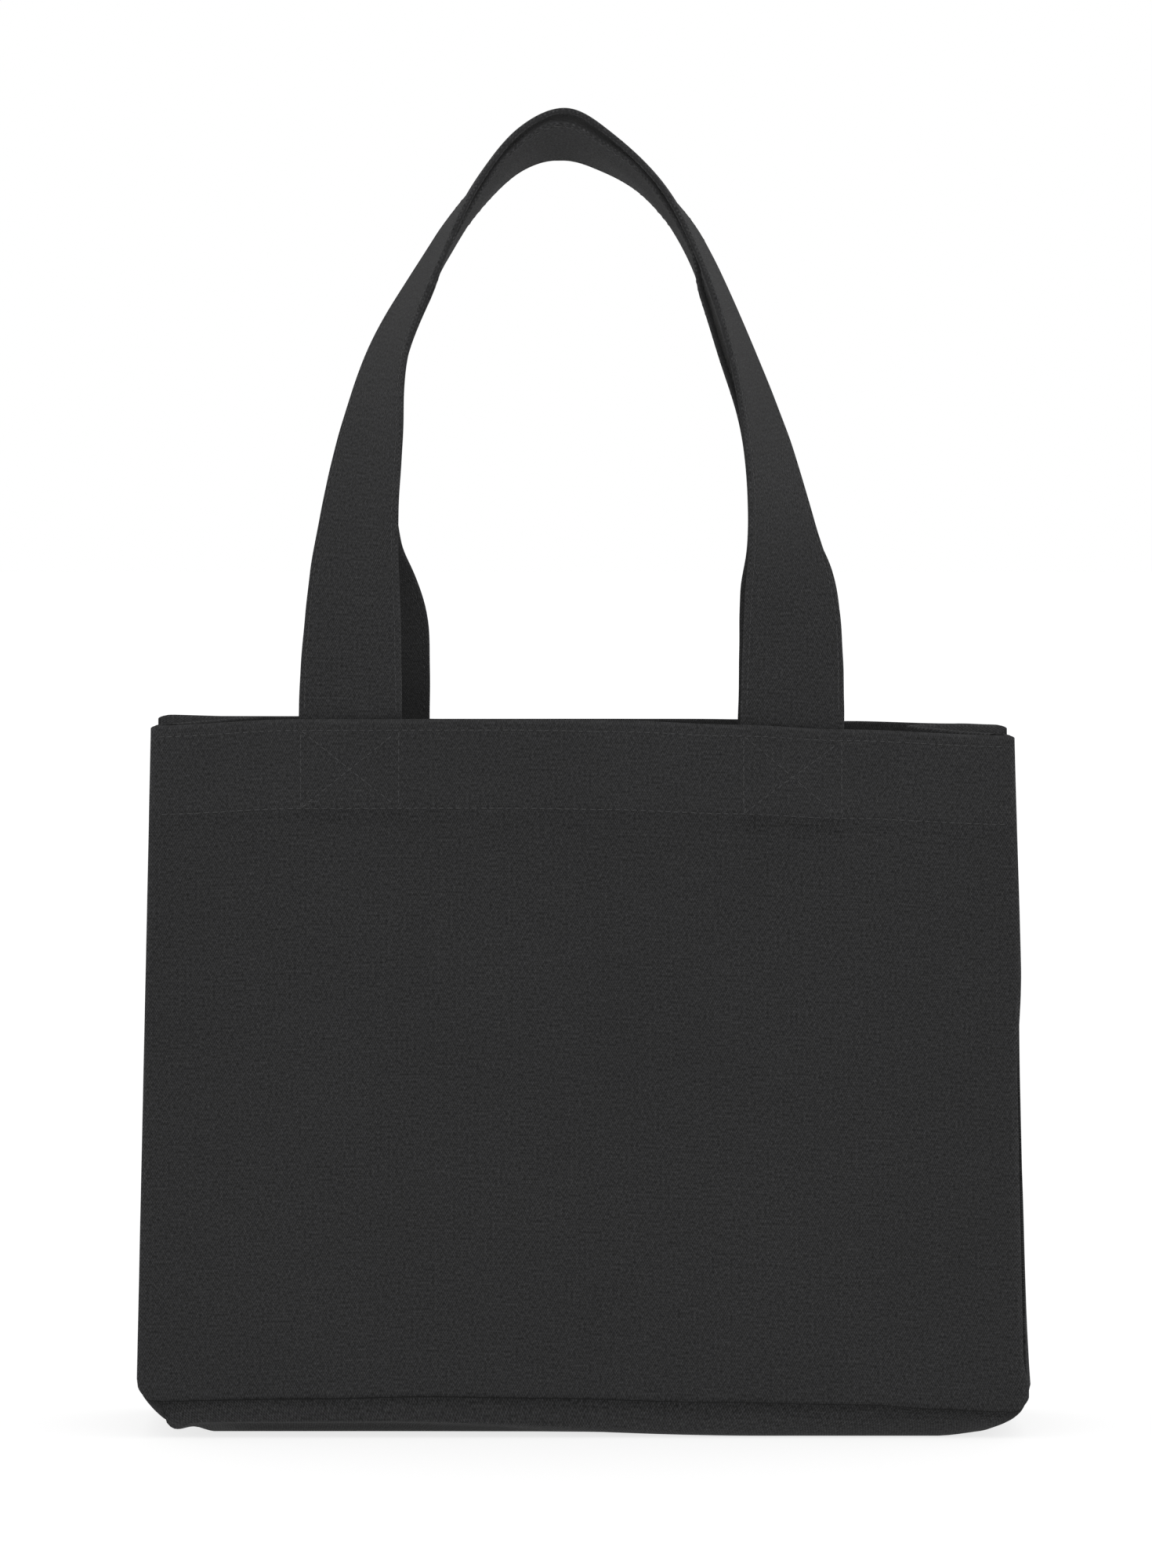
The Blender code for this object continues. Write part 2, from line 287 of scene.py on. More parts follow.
def spaced(start, end, step):
    """Even values from start to end, about step apart."""
    count = max(1, round(abs(end - start) / step))
    return [mix(start, end, i / count) for i in range(count + 1)]


def zoned(start, zones):
    """Values from start through zones, each given by its end and its step."""
    values = [start]
    for end, step in zones:
        values += spaced(start, end, step)[1:]
        start = end
    return values


# ---- panel surface
SAG_COLUMNS = 44
SAG_ROWS = 34
SAG_LIMIT = 0.0022
SAG_FRAMES = 45
SAG_SEED = {"front": 11, "back": 23}
SAG_START = (-0.0004, 0.0006)  # range of the random depths that the simulation starts from
sag = {"front": None, "back": None}

# The cloth turns in at its side seams and its base seam
SIDE_TURN = 0.0013
SIDE_TURN_WIDTH = 0.0035
BASE_TURN = 0.0020
BASE_TURN_HEIGHT = 0.0036

# A row of stitches presses a puckered groove into the cloth, and a box a plain one
ROW_GROOVE = 0.00012
ROW_PUCKER = 0.00016
ROW_GROOVE_WIDTH = 0.0011
BOX_GROOVE = 0.00025
BOX_GROOVE_WIDTH = 0.0010
BOX_REACH = 0.003

# The hem stands out over its inner layer, and further over the straps' ends
HEM_STEP = 0.00025
STRAP_STEP = 0.00035
STRAP_STEP_EDGE = STRAP_WIDTH / 2 + 0.002
STEP_RAMP = 0.003
STEP_REACH = 0.004

# Ripples hang below the lower hem row
RIPPLE = 0.00016
RIPPLE_LENGTH = 0.023
RIPPLE_WANDER = 3
RIPPLE_SCALE = 20
RIPPLE_RAMP = 0.006
RIPPLE_FADE = 0.014

# The cloth is a little uneven away from its seams
PHASE = {"front": 0.7, "back": 2.1}
UNEVEN_RAMP = 0.02
BROAD_UNEVEN = 0.0005
BROAD_SCALE = (13, 9)
BROAD_SHIFT = 5
FINE_UNEVEN = 0.00012
FINE_SCALE = (60, 45)

# The front panel's right edge is drawn in, so the gusset shows beside it
SEAM_PULL = 0.0026
SEAM_PULL_STARTS = (0.004, 0.02)
SEAM_PULL_STOPS = (0.190, -0.05)
SEAM_PULL_ACROSS = (0.75, 0.25)


def pattern_point(side, x, up, depth):
    """A point of a panel: up along the cloth from its base seam, depth inwards."""
    y = -HALF_GUSSET + up * math.sin(LEAN) + depth * math.cos(LEAN)
    z = SEAM_HEIGHT + up * math.cos(LEAN) - depth * math.sin(LEAN)
    return Vector((x, TURNED[side] * y, z))


def through_cloth(side, depth):
    """Direction through a panel: depth is 1 for inwards and -1 for outwards."""
    return pattern_point(side, 0, 0, depth) - pattern_point(side, 0, 0, 0)


def half_smooth(value):
    return smooth(value) * 0.5 + value * 0.5


def sag_at(side, x, up):
    """The simulated sag of a panel at a point, between the coarse grid's points."""
    field = sag[side]
    if field is None:
        return 0.0
    across = clamp((x / half_width(up) + 1) / 2) * (SAG_COLUMNS - 1)
    along = clamp(up / PANEL_LENGTH) * (SAG_ROWS - 1)
    i = min(int(across), SAG_COLUMNS - 2)
    j = min(int(along), SAG_ROWS - 2)
    u = half_smooth(across - i)
    low = mix(field[j][i], field[j][i + 1], u)
    high = mix(field[j + 1][i], field[j + 1][i + 1], u)
    return mix(low, high, half_smooth(along - j))


def simulate_sag(side):
    """Cloth simulation of a panel between its seams and its hem."""
    rng = random.Random(SAG_SEED[side])
    points = []
    rest = []
    held = []
    for j in range(SAG_ROWS):
        up = PANEL_LENGTH * j / (SAG_ROWS - 1)
        for i in range(SAG_COLUMNS):
            x = half_width(up) * (2 * i / (SAG_COLUMNS - 1) - 1)
            start = rng.uniform(*SAG_START)
            if i in (0, SAG_COLUMNS - 1) or j == 0 or up > HEM_LOW:
                held.append(len(points))
                start = 0.0
            points.append(pattern_point(side, x, up, start))
            rest.append(pattern_point(side, x, up, 0.0))
    obj = new_object(f"{side}_sag", points, grid_faces(SAG_COLUMNS, SAG_ROWS))
    obj.vertex_groups.new(name="held").add(held, 1.0, "REPLACE")
    cloth = obj.modifiers.new("cloth", "CLOTH")
    settings = cloth.settings
    settings.quality = 6
    settings.mass = 0.35
    settings.tension_stiffness = 30
    settings.compression_stiffness = 30
    settings.shear_stiffness = 12
    settings.bending_stiffness = 1.5
    settings.air_damping = 4
    settings.shrink_min = -0.0035
    settings.vertex_group_mass = "held"
    cloth.collision_settings.use_collision = False
    cloth.collision_settings.use_self_collision = False
    cloth.point_cache.frame_start = 1
    cloth.point_cache.frame_end = SAG_FRAMES
    scene = bpy.context.scene
    for frame_number in range(1, SAG_FRAMES + 1):
        scene.frame_set(frame_number)
    shape = obj.evaluated_get(bpy.context.evaluated_depsgraph_get()).to_mesh()
    inwards = through_cloth(side, 1)
    field = []
    for j in range(SAG_ROWS):
        row = []
        for i in range(SAG_COLUMNS):
            index = j * SAG_COLUMNS + i
            moved = (Vector(shape.vertices[index].co) - rest[index]).dot(inwards)
            row.append(SAG_LIMIT * math.tanh(moved / SAG_LIMIT))
        field.append(row)
    bpy.data.objects.remove(obj, do_unlink=True)
    scene.frame_set(1)
    return field


def box_distance(x, up, centre):
    """Distance to the nearest stitch line of a box with its diagonals."""
    half_across = BOX_WIDTH / 2
    half_along = BOX_HEIGHT / 2
    across = abs(x - centre)
    along = abs(up - (PANEL_LENGTH - BOX_TOP_DROP - half_along))
    if across > half_across + BOX_REACH or along > half_along + BOX_REACH:
        return math.inf
    edge = min(abs(across - half_across), abs(along - half_along))
    if across > half_across or along > half_along:
        edge = math.hypot(max(across - half_across, 0), max(along - half_along, 0))
    slope = half_along / half_across
    diagonal = abs(along - across * slope) / math.hypot(1, slope)
    return min(edge, diagonal)


def surface_offset(side, x, up):
    """How far the panel's cloth lies inwards of its flat pattern."""
    phase = PHASE[side]
    to_side = half_width(up) - abs(x)
    depth = SIDE_TURN * clamp(1 - to_side / SIDE_TURN_WIDTH) ** 2
    depth += BASE_TURN * clamp(1 - up / BASE_TURN_HEIGHT) ** 2
    for row in (PANEL_LENGTH - RIM_ROW_DROP, HEM_LOW):
        depth += bell(up - row, ROW_GROOVE_WIDTH) * (ROW_GROOVE + ROW_PUCKER * pucker(x))
    if up > HEM_LOW - STEP_REACH:
        step = ramp(up, HEM_LOW, STEP_RAMP)
        depth -= HEM_STEP * step
        for centre in LEGS[side]:
            depth -= STRAP_STEP * ramp(abs(x - centre), STRAP_STEP_EDGE, -STEP_RAMP) * step
            depth += BOX_GROOVE * bell(box_distance(x, up, centre), BOX_GROOVE_WIDTH)
    below = HEM_LOW - up
    if below > -STEP_REACH:
        wander = RIPPLE_WANDER * noise.noise((x * RIPPLE_SCALE, phase, 0))
        wave = math.sin(2 * math.pi * x / RIPPLE_LENGTH + phase + wander)
        fade = smooth((below + STEP_REACH) / RIPPLE_RAMP) * math.exp(-max(below, 0) / RIPPLE_FADE)
        depth += RIPPLE * wave * fade
    inner = smooth(to_side / UNEVEN_RAMP) * smooth(up / UNEVEN_RAMP)
    broad = (x * BROAD_SCALE[0] + BROAD_SHIFT * phase, up * BROAD_SCALE[1], phase)
    depth += BROAD_UNEVEN * inner * noise.noise(broad)
    depth += FINE_UNEVEN * inner * noise.noise((x * FINE_SCALE[0], up * FINE_SCALE[1], phase))
    return depth + sag_at(side, x, up)


def pulled(side, x, up):
    """x on a panel, with the front panel's right edge drawn in."""
    if side == "back" or x <= 0:
        return x
    pull = SEAM_PULL * ramp(up, *SEAM_PULL_STARTS) * ramp(up, *SEAM_PULL_STOPS)
    return x - pull * ramp(x / half_width(up), *SEAM_PULL_ACROSS)


def panel_point(side, x, up, depth):
    """A point at depth behind the panel's outer face, before the bag settles."""
    return pattern_point(side, pulled(side, x, up), up, depth + surface_offset(side, x, up))


# ---- panels
PANEL_COLUMNS = 236
EDGE_SPACING = 0.35  # spacing of the columns at the side edges, as a share of the middle's
EDGE_CROWDING = 6
PANEL_UV_MIDDLE = 0.5
RIM_FOLD_LOW = PANEL_LENGTH - 0.0006
RIM_FOLD_STEPS = 9
HEM_NARROWING = 0.024  # the hem's inner layer fits between the side seams

# (end, step) of the zones of rows up the panel, and of those down inside the hem
PANEL_ROWS = (
    (0.006, 0.0008),
    (0.232, 0.0036),
    (HEM_LOW - 0.003, 0.0022),
    (HEM_LOW + 0.003, 0.0007),
    (PANEL_LENGTH - 0.008, 0.0014),
    (RIM_FOLD_LOW, 0.0007),
)
HEM_ROWS = (
    (HEM_LOW + 0.003, 0.002),
    (HEM_LOW - 0.0012, 0.0007),
)

# Above 0 the cloth is lighter from wear; below 0 it is darker from painted shade
RIM_WEAR, RIM_WEAR_WIDTH = 0.9, 0.0010
SEAM_WEAR, SEAM_WEAR_WIDTH = 0.35, 0.0016
# Painted shade along the base edge, where the panel overhangs the gusset
BASE_SHADE, BASE_SHADE_WIDTH = 0.65, 0.0013
HEM_WEAR = 0.13
# Painted shadow under the hem, deeper below the straps' ends
HEM_SHADE = 0.10
HEM_SHADE_DROP = 0.0035
LEG_SHADE = 0.22
LEG_SHADE_EDGE = (0.030, -0.016)
TONE_LEVEL = 0.75
TONE_SPREAD = 0.5
TONE_SCALE = 90
TONE_SEED = 3


def panel_columns():
    """Shares of the half width from -1 to 1, closer together at the side edges."""
    shares = []
    for i in range(PANEL_COLUMNS):
        even = 2 * i / (PANEL_COLUMNS - 1) - 1
        spread = EDGE_SPACING + (1 - EDGE_SPACING) * (1 - abs(even) ** EDGE_CROWDING)
        shares.append(math.copysign(1 - (1 - abs(even)) * spread, even))
    return shares


def panel_rows():
    """(up, depth, share of the fold over the rim, length of cloth) of each row."""
    rows = [(up, CLOTH / 2, 0.0, up) for up in zoned(0.0, PANEL_ROWS)]
    radius = (HEM_MIDDLE - CLOTH / 2) / 2
    for i in range(1, RIM_FOLD_STEPS):
        angle = math.pi * i / RIM_FOLD_STEPS
        up = RIM_FOLD_LOW + radius * math.sin(angle)
        depth = CLOTH / 2 + radius * (1 - math.cos(angle))
        rows.append((up, depth, i / RIM_FOLD_STEPS, RIM_FOLD_LOW + radius * angle))
    for up in zoned(RIM_FOLD_LOW, HEM_ROWS):
        rows.append((up, HEM_MIDDLE, 1.0, RIM_FOLD_LOW + radius * math.pi + RIM_FOLD_LOW - up))
    return rows


def panel_wear_and_shade(side, x, up, fold, to_edge):
    """Wear at a panel's rim and side edges, and painted shade along its base edge and under its
    hem.
    """
    tone = RIM_WEAR * bell(up - PANEL_LENGTH, RIM_WEAR_WIDTH) * (1 - fold)
    tone += SEAM_WEAR * bell(to_edge, SEAM_WEAR_WIDTH)
    # painted shade along the base edge
    tone -= BASE_SHADE * bell(up, BASE_SHADE_WIDTH)
    if fold == 0.0:
        tone += HEM_WEAR * ramp(up, HEM_LOW, STEP_RAMP)
        # painted shadow under the hem, deeper below the straps' ends
        shade = HEM_SHADE
        for centre in LEGS[side]:
            shade += LEG_SHADE * ramp(abs(x - centre), *LEG_SHADE_EDGE)
        tone -= shade * bell(HEM_LOW - HEM_SHADE_DROP - up, HEM_SHADE_DROP)
    uneven = noise.noise((x * TONE_SCALE, up * TONE_SCALE, TONE_SEED))
    return tone * (TONE_LEVEL + TONE_SPREAD * uneven)


def make_panel(side):
    """One cloth: up the panel, over the rim and down inside as its hem."""
    shares = panel_columns()
    rows = panel_rows()
    points = []
    uvs = []
    wear_and_shade = []
    for up, depth, fold, along in rows:
        half = half_width(up)
        if up < PANEL_CORNER:
            half -= PANEL_CORNER - math.sqrt(PANEL_CORNER**2 - (PANEL_CORNER - up) ** 2)
        for share in shares:
            x = share * half
            place = x * (1 - HEM_NARROWING * smooth(fold))
            points.append(settled(panel_point(side, place, up, depth)))
            uvs.append((x + PANEL_UV_MIDDLE, along))
            wear_and_shade.append(panel_wear_and_shade(side, x, up, fold, half - abs(x)))
    faces = grid_faces(len(shares), len(rows), flip=side == "back")
    return thicken(new_object(f"{side}_panel_cloth", points, faces, uvs, wear_and_shade), CLOTH)


# ---- gusset
BOTTOM_CURVE = 0.035
BOTTOM_ROUNDNESS = 1.2
BOTTOM_SPREAD = 3
CREASE_ROUNDNESS = 1.3
SEAM_ROOM = 0.0009
EDGE_INSET = CLOTH + GAP + SEAM_ROOM
RIGHT_CORNER_LIFT = 0.0032
RIGHT_CORNER = (0.150, 0.030)

# The bottom's edges are lifted off the floor on the left: share of the lift, right and left ends
LIFT = {
    "front": (1.0, (0.075, -0.17), (-0.180, 0.018)),
    "back": (0.25, (0.02, -0.10), (-0.16, 0.04)),
}

# Where the bottom lies flat, it turns up close to its seam
TURN_UP_FROM = 0.80
TURN_UP_BULGE = 0.02

# Where it is lifted, it rises gently and then steeply at a fold beside the seam
GENTLE_RISE = 0.44
GENTLE_ZONE = (0.50, 0.45)
FOLD_FROM = 0.93
FOLD_RAMP = 0.07
FOLD_POWER = 1.6
FOLD_BULGE = 0.035
FOLD_REACH = 0.12

# At the corners the section changes from the bottom's to the wall's
CORNER_POWER_LOW = 3.2
CORNER_POWER_HIGH = 1.6
CORNER_RISE_POWER = 2.2

# The gusset shows outside the front panel's right edge
SHOWN_EDGE = 0.0026
SHOWN_ACROSS = (0.88, 0.14)
SHOWN_TUCK = 0.0008
SHOWN_STARTS = (0.0, 0.02)
SHOWN_STOPS = (0.205, -0.05)

# The side walls wave a little, but not at their lower ends
WALL_WAVE = 0.0022
WALL_WAVE_SCALE = 14
WALL_FOLD = 0.0006
WALL_FOLD_SCALE = 45
WALL_WAVE_RAMP = 6
WALL_SEEDS = {"front": (5, 1), "back": (9, 4)}

# The hems at the gusset's two ends
GUSSET_HEM_GAP = 0.0015
GUSSET_HEM_RAMP = 0.2
GUSSET_NARROWING = 0.17
GUSSET_HEM_STEPS = 18
GUSSET_FOLD_RISE = 0.00075
GUSSET_FOLD_STEPS = 5

BOTTOM_STEPS = 40
CORNER_STEPS = 16
WALL_STEPS = 90
GUSSET_ACROSS = ((0.78, 0.055), (1.0, 0.02))

# Painted shade darkens the seam's edge and the fold under the front edge; wear lightens the rim
GUSSET_SHADE = 0.5
GUSSET_SHADE_WIDTH = 0.015
# Painted shade on the underside of the lifted bottom, below its fold
UNDERSIDE_SHADE = 1.1
UNDERSIDE_SHADE_ACROSS = (0.72, 0.26)
GUSSET_RIM_WEAR = 0.6
GUSSET_RIM_FROM = 0.995
GUSSET_RIM_FOLD = 0.9


def wall_section(z):
    """Edge x, edge y and crease depth of a side wall at a height."""
    half = half_depth(z)
    edge = half_width((z - SEAM_HEIGHT) / math.cos(LEAN)) - CLOTH
    crease = math.sqrt(max(HALF_GUSSET**2 - min(half, HALF_GUSSET) ** 2, 0))
    return edge, half - EDGE_INSET, crease


def lifted(side, x):
    """How much the bottom's edge is lifted off the floor."""
    share, right, left = LIFT[side]
    return share * ramp(x, *right) * ramp(x, *left)


def bottom_section(side, x, t):
    """y share and height share of the bottom at t, from its middle to the seam."""
    turn = clamp((t - TURN_UP_FROM) / (1 - TURN_UP_FROM))
    plain = 1 - math.sqrt(max(1 - turn**2, 0))
    folded = GENTLE_RISE * ramp(t, *GENTLE_ZONE)
    if t > FOLD_FROM:
        folded = mix(folded, 1.0, ((t - FOLD_FROM) / FOLD_RAMP) ** FOLD_POWER)
    lift = lifted(side, x)
    across = t + FOLD_BULGE * bump(t, FOLD_FROM, FOLD_REACH) * lift
    across += TURN_UP_BULGE * turn * (1 - turn) * (1 - lift)
    return across, mix(plain, folded, lift)


def wall_point(side, sign, s, t):
    """A point of a side wall: s runs up it and t from its crease to the seam."""
    z_edge = mix(SEAM_HEIGHT - CLOTH / 2 + PANEL_CORNER, RIM_HEIGHT, s)
    z_crease = mix(SEAM_HEIGHT + CLOTH / 2, RIM_HEIGHT, s)
    z = mix(z_crease, z_edge, t)
    edge, y_edge, crease = wall_section(z)
    x = edge - crease * (1 - t**CREASE_ROUNDNESS)
    if side == "front" and sign > 0:
        shown = ramp(z, *SHOWN_STARTS) * ramp(z, *SHOWN_STOPS)
        x += SHOWN_EDGE * shown * bump(t, *SHOWN_ACROSS)
        x -= SHOWN_TUCK * shown * ramp(t, FOLD_FROM, FOLD_RAMP)
    wave_seed, fold_seed = WALL_SEEDS[side]
    wave = WALL_WAVE * noise.noise((z * WALL_WAVE_SCALE, sign * 3 + t, wave_seed))
    wave += WALL_FOLD * noise.noise((z * WALL_FOLD_SCALE, sign * 5 + 2 * t, fold_seed))
    x -= wave * math.sin(math.pi * clamp(t * 0.5 + 0.5)) * smooth(s * WALL_WAVE_RAMP)
    return x, y_edge * t, z


def corner_point(side, sign, s, t):
    """A point of the corner between the bottom and a side wall: s runs round it."""
    reach = s**BOTTOM_ROUNDNESS
    z_crease = CLOTH / 2 + SEAM_HEIGHT * (1 - (1 - reach) ** (1 / BOTTOM_ROUNDNESS))
    x_crease = HALF_BASE - CLOTH - BOTTOM_CURVE * (1 - s)
    angle = s * math.pi / 2
    x_edge = HALF_BASE - CLOTH - PANEL_CORNER * (1 - math.sin(angle))
    z_edge = SEAM_HEIGHT - CLOTH / 2 + PANEL_CORNER * (1 - math.cos(angle))
    share_y, share_z = bottom_section(side, x_crease * sign, t)
    x = mix(x_crease, x_edge, t ** mix(CORNER_POWER_LOW, CORNER_POWER_HIGH, s))
    y = (HALF_GUSSET - EDGE_INSET) * mix(share_y, t, s)
    return x, y, mix(z_crease, z_edge, mix(share_z, t**CORNER_RISE_POWER, smooth(s)))


def bottom_point(side, sign, s, t):
    """A point of the bottom: s runs from its middle to the corner."""
    x_crease = s * (HALF_BASE - CLOTH - BOTTOM_CURVE)
    x_edge = s * (HALF_BASE - CLOTH - PANEL_CORNER)
    x = mix(x_crease, x_edge, t**BOTTOM_SPREAD)
    share_y, share_z = bottom_section(side, x * sign, t)
    y = (HALF_GUSSET - EDGE_INSET) * share_y
    return x, y, mix(CLOTH / 2, SEAM_HEIGHT - CLOTH / 2, share_z)


GUSSET_PARTS = {"bottom": bottom_point, "corner": corner_point, "wall": wall_point}


def gusset_point(side, sign, part, s, t, hem):
    """A point of one half of the gusset strip. hem is its share of the fold over the rim."""
    x, y, z = GUSSET_PARTS[part](side, sign, s, t)
    if sign > 0 and z < SEAM_HEIGHT:
        z += RIGHT_CORNER_LIFT * ramp(x, *RIGHT_CORNER) * (1 - z / SEAM_HEIGHT)
    if hem:
        inward = GUSSET_HEM_GAP * (1 - math.cos(math.pi * hem)) / 2
        _, y_edge, crease = wall_section(RIM_HEIGHT)
        slope = crease * CREASE_ROUNDNESS * max(t, 1e-4) ** (CREASE_ROUNDNESS - 1)
        length = math.hypot(slope, y_edge)
        x -= inward * y_edge / length
        y += inward * slope / length * smooth(t / GUSSET_HEM_RAMP)
    return Vector((sign * x, -TURNED[side] * y, z))


def gusset_stations():
    """(sign, part, s, hem) from one end of the gusset to the other."""
    right = [("bottom", s, 0.0) for s in spaced(0, 1, 1 / BOTTOM_STEPS)]
    right += [("corner", s, 0.0) for s in spaced(0, 1, 1 / CORNER_STEPS)[1:]]
    right += [("wall", s, 0.0) for s in spaced(0, 1, 1 / WALL_STEPS)[1:]]
    for i in range(1, GUSSET_FOLD_STEPS + 1):
        right.append(("wall", 1.0, i / GUSSET_FOLD_STEPS))
    hem_share = HEM_DEPTH / (RIM_HEIGHT - SEAM_HEIGHT)
    for i in range(1, GUSSET_HEM_STEPS + 1):
        right.append(("wall", 1.0 - hem_share * i / GUSSET_HEM_STEPS, 1.0))
    stations = [(-1, *station) for station in reversed(right[1:])]
    return stations + [(1, *station) for station in right]


def gusset_wear_and_shade(side, sign, part, s, t, hem):
    # painted shade along the seam's edge
    tone = -GUSSET_SHADE * bell(1 - t, GUSSET_SHADE_WIDTH)
    if part != "wall":
        # painted shade on the underside of the lifted bottom
        tone -= UNDERSIDE_SHADE * lifted(side, sign * s * HALF_BASE) * bump(t, *UNDERSIDE_SHADE_ACROSS)
    elif s > GUSSET_RIM_FROM and hem < GUSSET_RIM_FOLD:
        tone += GUSSET_RIM_WEAR
    return tone


def make_gusset_half(side):
    """From one rim down, along the bottom and up to the other rim, hems included."""
    across = zoned(0.0, GUSSET_ACROSS)
    stations = gusset_stations()
    points = []
    uvs = []
    wear_and_shade = []
    along = 0.0
    before = None
    for sign, part, s, hem in stations:
        middle = gusset_point(side, sign, part, s, 0.5, hem)
        if before is not None:
            along += (middle - before).length
        before = middle
        wide = 0.0
        last = None
        for t in across:
            reach = t * (1 - GUSSET_NARROWING * smooth(hem))
            place = gusset_point(side, sign, part, s, reach, hem)
            if 0 < hem < 1:
                place.z += GUSSET_FOLD_RISE * math.sin(math.pi * hem)
            if last is not None:
                wide += (place - last).length
            last = place
            points.append(settled(place))
            uvs.append((along, wide))
            wear_and_shade.append(gusset_wear_and_shade(side, sign, part, s, t, hem))
    faces = grid_faces(len(across), len(stations), flip=side == "front")
    return thicken(new_object(f"gusset_{side}_half", points, faces, uvs, wear_and_shade), CLOTH)


# ---- handles
ROUTE_STEPS = 14  # stations between two knots of a handle's route
FOLD_STEPS = 48  # and at its two ends, where the handle folds over the rim
END_LOW = HEM_LOW + 0.0005
END_HIGH = PANEL_LENGTH - 0.0016
END_STEP = 0.0025

# Near the top of the arch the front strap's far edge hangs over the back strap,
# and the back strap's near edge curls up to the front strap
FAR_DROOP = 0.0042
DROOP_HEIGHT = (0.508, 0.036)
DROOP_ACROSS = (0.55, -1.3)
NEAR_LIFT_LEFT = 0.0022
NEAR_LIFT_RIGHT = 0.0030
LIFT_CHANGES_OVER = 0.06
LIFT_STARTS = (0.485, 0.02)
LIFT_STOPS = (0.556, -0.02)
LIFT_ACROSS = (0.1, 0.9)

# The edges of the straps stray a little from straight
EDGE_SEED = {"front": 3.0, "back": 8.0}
BROAD_WANDER = (0.0004, 22)
FINE_WANDER = (0.0002, 70)
WANDER_FROM = 0.3

# Its rows of stitches press into the strap, and its faces are a little uneven
STRAP_GROOVE = 0.00018
STRAP_PUCKER = 0.00010
STRAP_GROOVE_WIDTH = 0.0008
STRAP_UNEVEN = 0.00012
STRAP_UNEVEN_SCALE = (40, 2)
STRAP_SEED = {"front": 2.0, "back": 6.0}
STRAP_ROUNDING = 0.0011
STRAP_ACROSS = (
    -1.0, -0.993, -0.975, -0.95, -0.92, -0.886, -0.85, -0.80, -0.62, -0.36, -0.12,
    0.12, 0.36, 0.62, 0.80, 0.85, 0.886, 0.92, 0.95, 0.975, 0.993, 1.0,
)
INNER_FACE_UV = 0.1  # sets the inner face apart from the outer one in the cloth coordinates
STRAP_WEAR = 0.35
STRAP_WEAR_WIDTH = 0.04
STRAP_WEAR_LEVEL = 0.8
STRAP_SPREAD = 0.6
STRAP_WEAR_SCALE = (120, 3)


def catmull(p0, p1, p2, p3, t):
    """Catmull-Rom curve from p1 to p2."""
    return tuple(
        0.5 * (
            2 * b + (c - a) * t
            + (2 * a - 5 * b + 4 * c - d) * t**2
            + (3 * b - a - 3 * c + d) * t**3
        )
        for a, b, c, d in zip(p0, p1, p2, p3)
    )


def smooth_route(knots):
    first = tuple(2 * a - b for a, b in zip(knots[0], knots[1]))
    last = tuple(2 * a - b for a, b in zip(knots[-1], knots[-2]))
    padded = [first, *knots, last]
    values = []
    for i in range(1, len(padded) - 2):
        folds_here = i in (1, len(padded) - 3)
        count = FOLD_STEPS if folds_here else ROUTE_STEPS
        for step in range(count):
            values.append(catmull(*padded[i - 1:i + 3], step / count))
    values.append(knots[-1])
    return values


def strap_stations(side):
    """(centre, width direction, face direction) along a handle and its sewn-in ends."""
    turned = TURNED[side]
    knots = ROUTES[side]
    route = smooth_route(knots)
    apex = max(height for _, height, _ in knots)
    leg_depth = STRAP_MIDDLE - HALF_GUSSET + (RIM_HEIGHT - SEAM_HEIGHT) * math.tan(LEAN)
    depth = Vector((0, turned, 0))
    stations = []
    for i, (x, height, twist) in enumerate(route):
        share = clamp((height - RIM_HEIGHT) / (apex - RIM_HEIGHT))
        centre = Vector((x, turned * leg_depth * (1 - share), height))
        earlier = route[max(i - 1, 0)]
        later = route[min(i + 1, len(route) - 1)]
        along = Vector((later[0] - earlier[0], 0, later[1] - earlier[1]))
        outwards = Vector((-along.z, 0, along.x)).normalized()
        angle = math.radians(twist)
        width = -outwards * math.cos(angle) - turned * depth * math.sin(angle)
        face = -depth * math.cos(angle) + turned * outwards * math.sin(angle)
        stations.append((centre, width, face))
    leaning = through_cloth(side, -1)
    ends = []
    for leg, sign in zip(LEGS[side], (1, -1)):
        end = []
        for up in spaced(END_LOW, END_HIGH, END_STEP):
            centre = pattern_point(side, leg, up, STRAP_MIDDLE)
            end.append((centre, Vector((sign, 0, 0)), leaning))
        ends.append(end)
    return ends[0] + stations + ends[1][::-1]


def strap_lengths(stations):
    """Length along the strap at each station."""
    lengths = [0.0]
    for before, after in zip(stations, stations[1:]):
        lengths.append(lengths[-1] + (after[0] - before[0]).length)
    return lengths


def edge_wander(side, along, edge):
    """How far a strap's edge strays from straight."""
    wander = 0.0
    for size, scale in (BROAD_WANDER, FINE_WANDER):
        wander += size * noise.noise((along * scale, EDGE_SEED[side], edge))
    return wander


def arch_curl(side, centre, across):
    """How far the straps curl towards each other near the top of the arch."""
    if side == "front":
        return -FAR_DROOP * ramp(centre.z, *DROOP_HEIGHT) * ramp(across, *DROOP_ACROSS)
    share = smooth(centre.x / LIFT_CHANGES_OVER + 0.5)
    lift = mix(NEAR_LIFT_LEFT, NEAR_LIFT_RIGHT, share)
    high = ramp(centre.z, *LIFT_STARTS) * ramp(centre.z, *LIFT_STOPS)
    return -lift * high * ramp(across, *LIFT_ACROSS)


